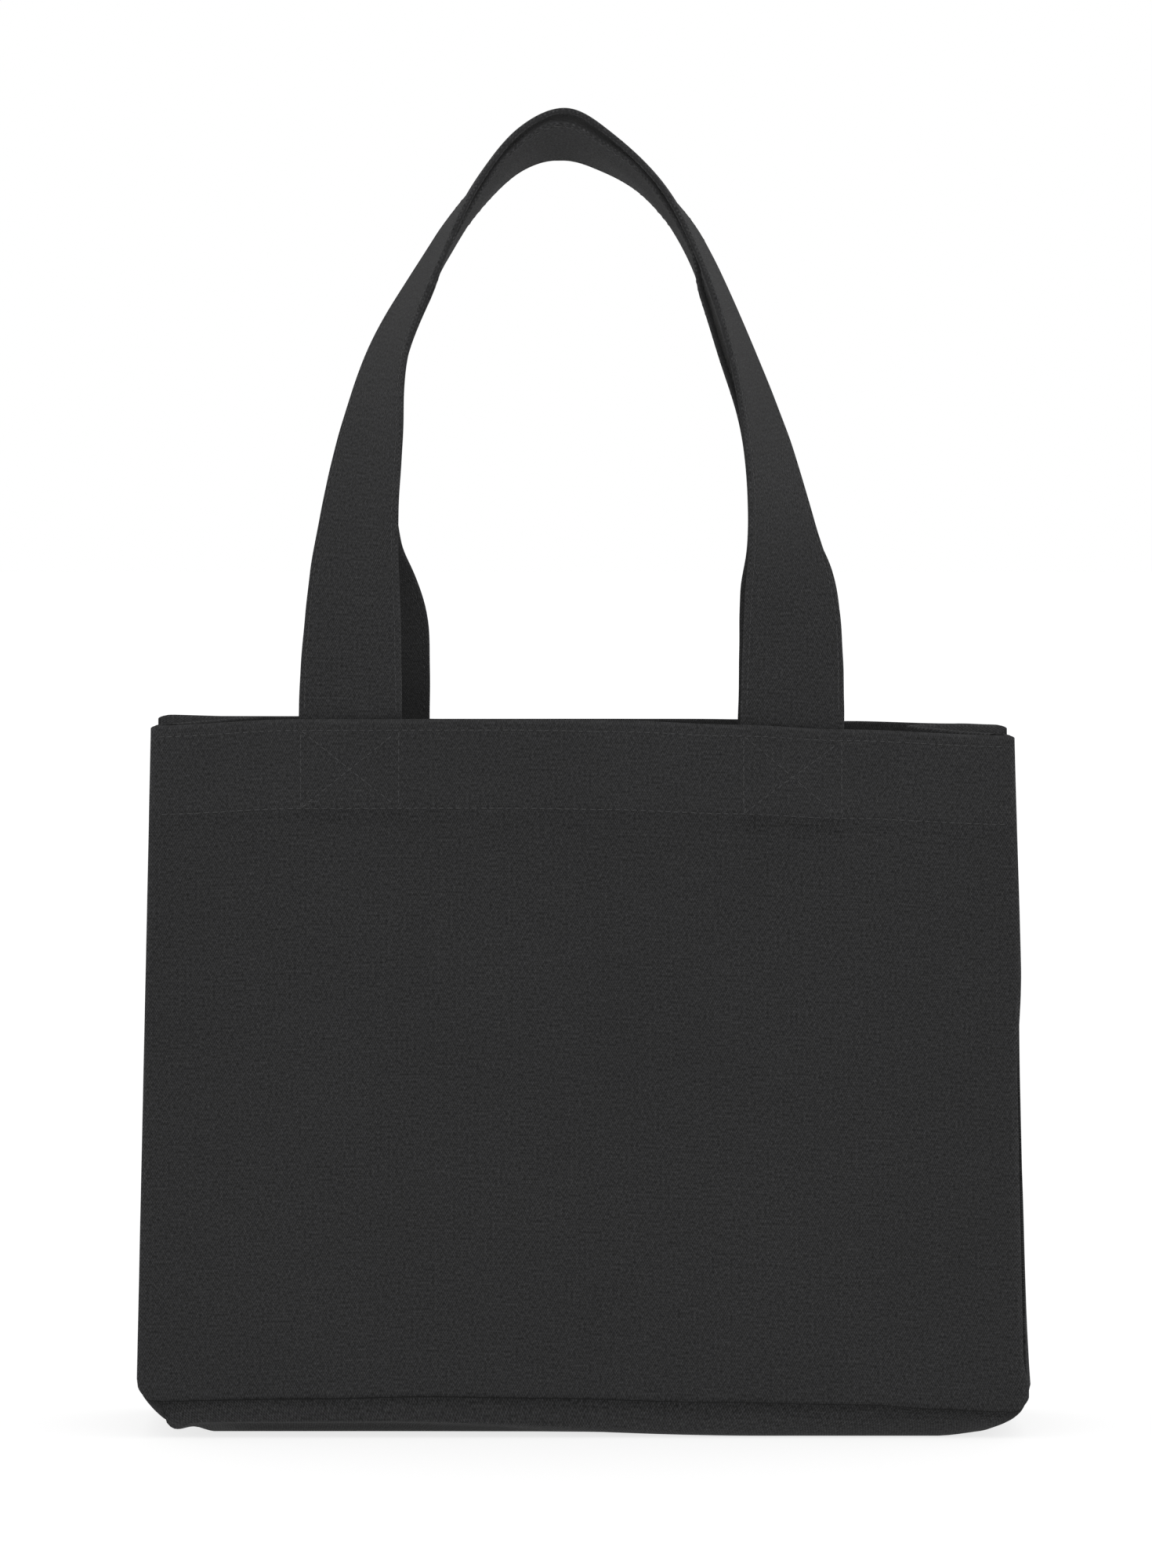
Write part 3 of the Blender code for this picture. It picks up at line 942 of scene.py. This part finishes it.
def strap_surface(side, station, along, across, outer):
    """A point on the strap's outer or inner face. across runs from -1 to 1."""
    centre, width, face = station
    half = STRAP_WIDTH / 2
    place = across * half
    inset = half - abs(place)
    near_row = bell(inset - STRAP_ROW_INSET, STRAP_GROOVE_WIDTH)
    level = STRAP_THICKNESS / 2
    level -= near_row * (STRAP_GROOVE + STRAP_PUCKER * pucker(along))
    along_scale, across_scale = STRAP_UNEVEN_SCALE
    uneven = (along * along_scale, across * across_scale, STRAP_SEED[side])
    level += STRAP_UNEVEN * noise.noise(uneven)
    if inset < STRAP_ROUNDING:
        level *= math.sqrt(max(1 - (1 - inset / STRAP_ROUNDING) ** 2, 0.0))
    centre = centre + face * arch_curl(side, centre, across)
    if abs(across) > WANDER_FROM:
        wander = edge_wander(side, along, math.copysign(1, across))
        place += wander * (abs(across) - WANDER_FROM) / (1 - WANDER_FROM)
    return centre + width * place + face * (level if outer else -level)


def make_strap(side):
    """One strap with both of its sewn-in ends, and its length."""
    stations = strap_stations(side)
    lengths = strap_lengths(stations)
    ring = [(a, True) for a in STRAP_ACROSS] + [(a, False) for a in STRAP_ACROSS[-2:0:-1]]
    along_scale, across_scale = STRAP_WEAR_SCALE
    points = []
    uvs = []
    wear_and_shade = []
    for station, along in zip(stations, lengths):
        for across, outer in ring:
            points.append(settled(strap_surface(side, station, along, across, outer)))
            wide = across * STRAP_WIDTH / 2
            uvs.append((wide if outer else INNER_FACE_UV - wide, along))
            uneven = noise.noise((along * along_scale, across * across_scale, 1))
            tone = STRAP_WEAR * bell(1 - abs(across), STRAP_WEAR_WIDTH)
            wear_and_shade.append(tone * (STRAP_WEAR_LEVEL + STRAP_SPREAD * uneven))
    faces = tube_faces(len(ring), len(stations))
    return new_object(f"{side}_strap", points, faces, uvs, wear_and_shade, closed=True), lengths[-1]


# ---- stitches
RING = 6  # points round a thread

# (share of the stitch's length, share of its thickness, rise in radii)
SECTIONS = (
    (0.0, 0.30, -0.9),
    (0.12, 0.85, -0.25),
    (0.5, 1.0, 0.25),
    (0.88, 0.85, -0.25),
    (1.0, 0.30, -0.9),
)

# How the stitches differ from each other
STITCH_SKEW = (-0.10, 0.10)
STITCH_THICKNESS = (0.88, 1.12)
STITCH_RISE = (-0.00004, 0.00006)
STITCH_SHIFT = (-0.00015, 0.00015)
STITCH_LENGTH = (0.93, 1.07)

HEM_SEED = {"front": 40, "back": 60}
STRAP_ROW_SEED = {"front": 80, "back": 90}
OVERLOCK_SEED = {"front": 120, "back": 140}

OUTER_RISE = 0.00004
INNER_RISE = 0.00008
STRAP_RISE = 0.00006
ROW_MARGIN = 0.003
INNER_ROW_MARGIN = 0.004
HEM_ROW_DROP = HEM_DEPTH - 0.0004
HEM_ROW_SHIFT = 0.0014
BOX_MARGIN = 0.0004
BOX_SHIFT = 0.0005
TANGLE = (0.0016, 0.0042)  # a short second row from each low corner of a box
STRAP_ROW_START = HEM_DEPTH + 0.004


class Thread:
    """Many small stitches that share one mesh."""

    def __init__(self, name, seed):
        self.name = name
        self.points = []
        self.faces = []
        self.uvs = []
        self.rng = random.Random(seed)

    def add(self, start, end, normal, radius=STITCH_RADIUS):
        """One stitch from start to end: its ends dive into the cloth."""
        along = end - start
        length = along.length
        along = along.normalized()
        normal = (normal - along * normal.dot(along)).normalized()
        side = along.cross(normal)
        skew = self.rng.uniform(*STITCH_SKEW) * length
        base = len(self.points)
        thick = radius * self.rng.uniform(*STITCH_THICKNESS)
        lift = self.rng.uniform(*STITCH_RISE)
        for share, size, rise in SECTIONS:
            middle = start + along * length * share
            middle += normal * (radius * rise + lift) + side * skew * (share - 0.5)
            for i in range(RING):
                angle = 2 * math.pi * i / RING
                out = normal * math.sin(angle) + side * math.cos(angle)
                self.points.append(settled(middle + out * thick * size))
                self.uvs.append((share * length, i / RING))
        for row in range(len(SECTIONS) - 1):
            for i in range(RING):
                a = base + row * RING + i
                b = base + row * RING + (i + 1) % RING
                self.faces.append((a, a + RING, b + RING, b))
        self.faces.append(tuple(range(base, base + RING)))
        last = base + (len(SECTIONS) - 1) * RING
        self.faces.append(tuple(range(last, last + RING))[::-1])

    def run(self, place, length, shift=0.0):
        """A row of stitches. place(distance) gives (point, normal)."""
        count = int((length - shift) / PITCH)
        for i in range(count):
            begin = shift + i * PITCH + self.rng.uniform(*STITCH_SHIFT)
            stop = min(begin + STITCH * self.rng.uniform(*STITCH_LENGTH), length)
            (start, normal), (end, _) = place(begin), place(stop)
            self.add(start, end, normal)

    def finish(self):
        return new_object(self.name, self.points, self.faces, self.uvs, closed=True)


def inner_depth(side, x):
    """Depth of the innermost layer behind a point of the hem."""
    for centre in LEGS[side]:
        if abs(x - centre) < STRAP_WIDTH / 2:
            return STRAP_MIDDLE + STRAP_THICKNESS / 2
    return HEM_MIDDLE + CLOTH / 2


def panel_line(side, start, end, outside):
    """A straight stitch line between two (x, up) points of a panel, and its length."""
    outward = through_cloth(side, -1)
    length = math.dist(start, end)

    def place(distance):
        share = distance / length
        x = mix(start[0], end[0], share)
        up = mix(start[1], end[1], share)
        if outside:
            return panel_point(side, x, up, -OUTER_RISE), outward
        return panel_point(side, x, up, inner_depth(side, x) + INNER_RISE), -outward

    return place, length


def make_hem_thread(side):
    """The two rows of the hem and the boxes, on the outer and the inner face."""
    thread = Thread(f"{side}_hem_thread", HEM_SEED[side])
    for outside in (True, False):
        end = HALF_RIM - ROW_MARGIN
        if not outside:
            end -= INNER_ROW_MARGIN
        for drop, shift in ((RIM_ROW_DROP, 0.0), (HEM_ROW_DROP, HEM_ROW_SHIFT)):
            up = PANEL_LENGTH - drop
            thread.run(*panel_line(side, (-end, up), (end, up), outside), shift)
        top = PANEL_LENGTH - BOX_TOP_DROP
        low = top - BOX_HEIGHT
        for centre in LEGS[side]:
            left = centre - BOX_WIDTH / 2 + BOX_MARGIN
            right = centre + BOX_WIDTH / 2 - BOX_MARGIN
            lines = [
                ((right, top), (right, low)),
                ((left, low), (left, top)),
                ((left, low), (right, top)),
                ((left, top), (right, low)),
            ]
            for start, stop in lines:
                thread.run(*panel_line(side, start, stop, outside), BOX_SHIFT)
            for corner in (left, right):
                stop = (corner + TANGLE[0], low + TANGLE[1])
                thread.run(*panel_line(side, (corner, low), stop, outside))
    return thread.finish()


def make_strap_thread(side):
    """The rows near both edges of a strap, on its outer and its inner face."""
    stations = strap_stations(side)
    lengths = strap_lengths(stations)
    thread = Thread(f"{side}_strap_thread", STRAP_ROW_SEED[side])

    def station_at(distance):
        index = 0
        while index < len(lengths) - 2 and lengths[index + 1] < distance:
            index += 1
        span = lengths[index + 1] - lengths[index]
        share = clamp((distance - lengths[index]) / span)
        return tuple(a.lerp(b, share) for a, b in zip(stations[index], stations[index + 1]))

    row = 1 - STRAP_ROW_INSET / (STRAP_WIDTH / 2)
    for across in (-row, row):
        for outer in (True, False):
            def place(distance, across=across, outer=outer):
                along = distance + STRAP_ROW_START
                station = station_at(along)
                point = strap_surface(side, station, along, across, outer)
                face = station[2] if outer else -station[2]
                return point + face * STRAP_RISE, face

            thread.run(place, lengths[-1] - 2 * STRAP_ROW_START)
    return thread.finish()


# ---- seam allowances
SEAM_EDGE_INSET = 0.0062
SEAM_EDGE_CORNER = 0.008
SEAM_EDGE_TOP = HEM_LOW - 0.003
SEAM_EDGE_STEP = 0.004
SEAM_CORNER_STEPS = 8
SEAM_EDGE_WIDTH = 0.0076
SEAM_EDGE_UNEVEN = 0.0004
SEAM_EDGE_SCALE = 60
SEAM_CORNER_SHARE = 0.55  # it is narrower round the corners
SEAM_EDGE_WEAR = 0.5
SEAM_EDGE_NEAR = CLOTH + GAP
SEAM_EDGE_FAR = 3 * CLOTH + GAP
SEAM_EDGE_SHARES = (0.0, 0.25, 0.5, 0.75, 0.96)

OVERLOCK_START = 0.0040
OVERLOCK_END = 0.0077
OVERLOCK_SLANT = 0.0007
OVERLOCK_RISE = 0.0001
OVERLOCK_THICKNESS = 0.8


def allowance_path(side):
    """(x, up, inward x, inward up) round a panel's sides and bottom, inside the bag."""
    low = SEAM_EDGE_INSET
    corner_up = low + SEAM_EDGE_CORNER
    corner_x = half_width(low) - SEAM_EDGE_INSET - SEAM_EDGE_CORNER
    path = []
    for up in spaced(SEAM_EDGE_TOP, corner_up, SEAM_EDGE_STEP):
        path.append((-(half_width(up) - SEAM_EDGE_INSET), up, 1.0, 0.0))
    for i in range(1, SEAM_CORNER_STEPS):
        angle = math.pi / 2 * i / SEAM_CORNER_STEPS
        x = -corner_x - SEAM_EDGE_CORNER * math.cos(angle)
        up = low + SEAM_EDGE_CORNER * (1 - math.sin(angle))
        path.append((x, up, math.cos(angle), math.sin(angle)))
    left = list(path)
    for x in spaced(-corner_x, corner_x, SEAM_EDGE_STEP):
        path.append((x, low, 0.0, 1.0))
    return path + [(-x, up, -dx, dup) for x, up, dx, dup in reversed(left)]


def make_allowance(side):
    """The seam allowances, trimmed together, and the overlocking along their edge."""
    path = allowance_path(side)
    section = [(share, SEAM_EDGE_NEAR) for share in SEAM_EDGE_SHARES]
    section.append((1.0, (SEAM_EDGE_NEAR + SEAM_EDGE_FAR) / 2))
    section += [(share, SEAM_EDGE_FAR) for share in reversed(SEAM_EDGE_SHARES)]
    points = []
    uvs = []
    wear_and_shade = []
    along = 0.0
    for index, (x, up, dx, dup) in enumerate(path):
        if index:
            along += math.dist(path[index - 1][:2], (x, up))
        uneven = noise.noise((along * SEAM_EDGE_SCALE, 7, 1))
        wide = SEAM_EDGE_WIDTH + SEAM_EDGE_UNEVEN * uneven
        for share, depth in section:
            reach = share * wide * (SEAM_CORNER_SHARE if 0 < abs(dx) < 1 else 1)
            points.append(settled(panel_point(side, x + dx * reach, up + dup * reach, depth)))
            uvs.append((along, reach + depth))
            wear_and_shade.append(SEAM_EDGE_WEAR * share)
    faces = tube_faces(len(section), len(path))
    cloth = new_object(f"{side}_seam_edges", points, faces, uvs, wear_and_shade, closed=True)
    thread = Thread(f"{side}_overlock_thread", OVERLOCK_SEED[side])
    inward = through_cloth(side, 1)
    for a, b in zip(path, path[1:]):
        if 0 < abs(a[2]) < 1:
            continue
        for half in (0.0, 0.5):
            x, up, dx, dup = (mix(p, q, half) for p, q in zip(a, b))
            start_x = x + dx * OVERLOCK_START
            start_up = up + dup * OVERLOCK_START
            end_x = x + dx * OVERLOCK_END + dup * OVERLOCK_SLANT
            end_up = up + dup * OVERLOCK_END + dx * OVERLOCK_SLANT
            start = panel_point(side, start_x, start_up, SEAM_EDGE_FAR + OVERLOCK_RISE)
            end = panel_point(side, end_x, end_up, SEAM_EDGE_FAR)
            thread.add(start, end, inward, STITCH_RADIUS * OVERLOCK_THICKNESS)
    return cloth, thread.finish()


# ---- materials
def put(node, **values):
    """Sets the inputs of a node. Spaces in an input's name are given as underscores."""
    for name, value in values.items():
        node.inputs[name.replace("_", " ")].default_value = value


class Nodes:
    """Short calls for building a material's node tree."""

    def __init__(self, material):
        material.use_nodes = True
        self.tree = material.node_tree
        self.principled = self.tree.nodes["Principled BSDF"]
        uv_node = self.tree.nodes.new("ShaderNodeUVMap")
        uv_node.uv_map = "cloth"
        self.uv = uv_node.outputs[0]
        separate = self.tree.nodes.new("ShaderNodeSeparateXYZ")
        self.link(self.uv, separate.inputs[0])
        self.across, self.along = separate.outputs[0], separate.outputs[1]

    def link(self, value, socket):
        if isinstance(value, bpy.types.NodeSocket):
            self.tree.links.new(value, socket)
        else:
            socket.default_value = value

    def math(self, operation, *values):
        node = self.tree.nodes.new("ShaderNodeMath")
        node.operation = operation
        for value, socket in zip(values, node.inputs):
            self.link(value, socket)
        return node.outputs[0]

    def times(self, a, b):
        return self.math("MULTIPLY", a, b)

    def plus(self, a, b):
        return self.math("ADD", a, b)

    def noise(self, vector, scale, detail, roughness=0.5):
        node = self.tree.nodes.new("ShaderNodeTexNoise")
        self.link(vector, node.inputs["Vector"])
        put(node, Scale=scale, Detail=detail, Roughness=roughness)
        return node.outputs["Fac"]

    def drawn_noise(self, scales, detail):
        """Noise over the cloth with a scale of its own in each direction."""
        node = self.tree.nodes.new("ShaderNodeMapping")
        self.link(self.uv, node.inputs["Vector"])
        put(node, Scale=scales)
        return self.noise(node.outputs[0], 1.0, detail)

    def span(self, value, low, high):
        """A 0 to 1 value moved to low to high."""
        return self.math("MULTIPLY_ADD", value, high - low, low)

    def tint(self, colour, factor):
        node = self.tree.nodes.new("ShaderNodeVectorMath")
        node.operation = "SCALE"
        self.link(colour, node.inputs[0])
        self.link(factor, node.inputs["Scale"])
        self.link(node.outputs[0], self.principled.inputs["Base Color"])

    def bump(self, height, distance, strength):
        node = self.tree.nodes.new("ShaderNodeBump")
        self.link(height, node.inputs["Height"])
        put(node, Distance=distance, Strength=strength)
        self.link(node.outputs[0], self.principled.inputs["Normal"])


WHITE = (1, 1, 1, 1)
HAZE = 0.007  # a faint uniform glow, which keeps the deepest folds off black
WARP_WIDTH = 0.00052
WEFT_WIDTH = 0.00095
WEFT_SLANT = 0.022
WARP_DRIFT = 0.0006  # how far the yarns stray from straight
WARP_JITTER = 0.00016
WEFT_DRIFT = 0.0008
WEFT_JITTER = 0.00012

# Contrasts, as shares of the cloth's colour
WEAVE_CONTRAST = 0.75
WARP_CONTRAST = 0.14
WEFT_CONTRAST = 0.16
BROAD_CONTRAST = 0.20
FIBRE_CONTRAST = 0.9
SLUB_CONTRAST = 1.2
# of the wear and the painted shade
WEAR_AND_SHADE_CONTRAST = 0.75
SLUB_RARITY = 5
RELIEF = 0.00016
RELIEF_STRENGTH = 0.85

PLY_LENGTH = 0.0009
PLIES = 2
PLY_CONTRAST = 0.22
PLY_RELIEF = 0.00005
PLY_RELIEF_STRENGTH = 0.6


def canvas_material(name, colour):
    """Plain-woven heavy cotton, from the cloth's own coordinates in metres."""
    material = bpy.data.materials.new(name)
    n = Nodes(material)
    drift = n.noise(n.uv, 70, 3)
    jitter = n.noise(n.uv, 900, 2)
    u = n.plus(n.across, n.span(drift, -WARP_DRIFT, WARP_DRIFT))
    u = n.plus(u, n.span(jitter, -WARP_JITTER, WARP_JITTER))
    v = n.plus(n.along, n.times(n.across, WEFT_SLANT))
    v = n.plus(v, n.span(drift, WEFT_DRIFT, -WEFT_DRIFT))
    v = n.plus(v, n.span(jitter, WEFT_JITTER, -WEFT_JITTER))
    warp = n.math("SINE", n.times(u, math.pi / WARP_WIDTH))
    weft = n.math("SINE", n.times(v, math.pi / WEFT_WIDTH))
    patch = n.noise(n.uv, 160, 4, 0.65)
    strength = n.times(n.span(patch, 0.1, 1.5), n.span(jitter, 0.5, 1.4))
    weave = n.times(n.times(warp, weft), strength)
    warp_yarn = n.drawn_noise((1900, 34, 1), 2)
    weft_yarn = n.drawn_noise((40, 1050, 1), 2)
    broad = n.noise(n.uv, 9, 4, 0.6)
    fibre = n.noise(n.uv, 900, 0)
    slub = n.math("POWER", n.drawn_noise((90, 1050, 1), 1), SLUB_RARITY)
    # This attribute holds the wear, which lightens the cloth, and the painted shade, which
    # darkens it
    wear_and_shade = n.tree.nodes.new("ShaderNodeAttribute")
    wear_and_shade.attribute_name = "wear_and_shade"
    factor = n.math("MULTIPLY_ADD", weave, WEAVE_CONTRAST, 1.0)
    for value, contrast in (
        (warp_yarn, WARP_CONTRAST),
        (weft_yarn, WEFT_CONTRAST),
        (broad, BROAD_CONTRAST),
        (fibre, FIBRE_CONTRAST),
    ):
        factor = n.times(factor, n.span(value, 1 - contrast, 1 + contrast))
    factor = n.plus(factor, n.times(slub, SLUB_CONTRAST))
    tone = n.times(wear_and_shade.outputs["Fac"], WEAR_AND_SHADE_CONTRAST)
    n.tint(colour, n.plus(factor, tone))
    height = n.plus(weave, n.span(fibre, -0.5, 0.5))
    height = n.plus(height, n.span(warp_yarn, -0.5, 0.5))
    n.bump(height, RELIEF, RELIEF_STRENGTH)
    put(n.principled, Roughness=0.92, Specular_IOR_Level=0.07)
    put(n.principled, Sheen_Weight=0.025, Sheen_Roughness=0.55)
    put(n.principled, Emission_Color=WHITE, Emission_Strength=HAZE)
    return material


def thread_material(name, colour):
    """Twisted sewing thread."""
    material = bpy.data.materials.new(name)
    n = Nodes(material)
    turns = n.times(n.across, 2 * math.pi / PLY_LENGTH)
    round_it = n.times(n.along, 2 * math.pi * PLIES)
    ply = n.math("SINE", n.plus(turns, round_it))
    n.tint(colour, n.math("MULTIPLY_ADD", ply, PLY_CONTRAST, 1.0))
    n.bump(ply, PLY_RELIEF, PLY_RELIEF_STRENGTH)
    put(n.principled, Roughness=0.7, Specular_IOR_Level=0.35, Sheen_Weight=0.1)
    return material


CANVAS = canvas_material("black_canvas", (0.0180, 0.0180, 0.0185))
CANVAS_INSIDE = canvas_material("black_canvas_inside", (0.0160, 0.0160, 0.0165))
STRAP_CANVAS = canvas_material("black_canvas_strap", (0.0194, 0.0194, 0.0200))
YARN = thread_material("black_thread", (0.032, 0.032, 0.033))

# ---- the bag
SIDE_BODY = {"front": "front_side", "back": "back_side"}

for side in ("front", "back"):
    sag[side] = simulate_sag(side)


def paint(obj, material):
    obj.data.materials.append(material)


for side in ("front", "back"):
    panel = make_panel(side)
    paint(panel, CANVAS)
    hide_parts(f"{side}_panel", f"{side}_hem")
    thread = make_hem_thread(side)
    paint(thread, YARN)
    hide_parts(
        f"{side}_rim_stitches", f"{side}_hem_stitches",
        f"{side}_box_stitch_left", f"{side}_box_stitch_right",
    )
    allowance, overlock = make_allowance(side)
    paint(allowance, CANVAS_INSIDE)
    paint(overlock, YARN)
    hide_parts(f"{side}_seam_allowance")
    for obj in (panel, thread, allowance, overlock):
        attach(obj, SIDE_BODY[side])

for side in ("front", "back"):
    half = make_gusset_half(side)
    paint(half, CANVAS)
    if side == "front":
        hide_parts("bottom_gusset", "left_gusset", "right_gusset")
    else:
        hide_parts("left_gusset_hem", "right_gusset_hem")
    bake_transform(half)

for side in ("front", "back"):
    strap, length = make_strap(side)
    paint(strap, STRAP_CANVAS)
    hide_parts(f"{side}_handle", f"{side}_handle_end_left", f"{side}_handle_end_right")
    thread = make_strap_thread(side)
    paint(thread, YARN)
    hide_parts(f"{side}_handle_stitches_outer", f"{side}_handle_stitches_inner")
    for obj in (strap, thread):
        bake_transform(obj)


# ---- floor, light and camera
FLOOR_HALF = 30.0
FLOOR_GREY = (0.30, 0.30, 0.30, 1)
FLOOR_GLOW = 0.76
SOFT_BOX_AIM = (0, 0, 0.35)
SOFT_BOX_SIZE = (1.4, 1.6)


def make_floor():
    half = FLOOR_HALF
    points = [(-half, -half, 0), (half, -half, 0), (half, half, 0), (-half, half, 0)]
    floor = new_object("floor", points, [(0, 1, 2, 3)])
    material = bpy.data.materials.new("pale_floor")
    material.use_nodes = True
    shader = material.node_tree.nodes["Principled BSDF"]
    put(shader, Base_Color=FLOOR_GREY, Roughness=1.0, Specular_IOR_Level=0.0)
    put(shader, Emission_Color=WHITE, Emission_Strength=FLOOR_GLOW)
    floor.data.materials.append(material)


def soft_box(name, place, power):
    light = bpy.data.lights.new(name, "AREA")
    light.shape = "RECTANGLE"
    light.size, light.size_y = SOFT_BOX_SIZE
    light.energy = power
    obj = bpy.data.objects.new(name, light)
    obj.location = place
    aim = Vector(SOFT_BOX_AIM) - Vector(place)
    obj.rotation_euler = aim.to_track_quat("-Z", "Y").to_euler()
    bpy.context.scene.collection.objects.link(obj)


make_floor()
soft_box("left_soft_box", place=(-1.7, 0.10, 0.85), power=1.0)
soft_box("right_soft_box", place=(1.7, 0.05, 0.95), power=3.0)

world = bpy.data.worlds.new("studio")
world.use_nodes = True
background = world.node_tree.nodes["Background"]
put(background, Color=WHITE, Strength=1.0)
bpy.context.scene.world = world
bpy.context.scene.view_settings.view_transform = "Standard"

DISTANCE = 2.9
ELEVATION = math.radians(2.5)
SENSOR_WIDTH = 36
SEEN_HEIGHT = 0.67365  # of the bag's middle plane, over the picture's height
TARGET = Vector((-0.0032, 0, 0.276))
camera_data = bpy.data.cameras.new("camera")
camera_data.sensor_width = SENSOR_WIDTH
camera_data.lens = SENSOR_WIDTH * DISTANCE / SEEN_HEIGHT
camera_data.clip_end = 100
camera = bpy.data.objects.new("camera", camera_data)
camera.location = TARGET + DISTANCE * Vector((0, -math.cos(ELEVATION), math.sin(ELEVATION)))
camera.rotation_euler = (math.pi / 2 - ELEVATION, 0, 0)
bpy.context.scene.collection.objects.link(camera)
bpy.context.scene.camera = camera
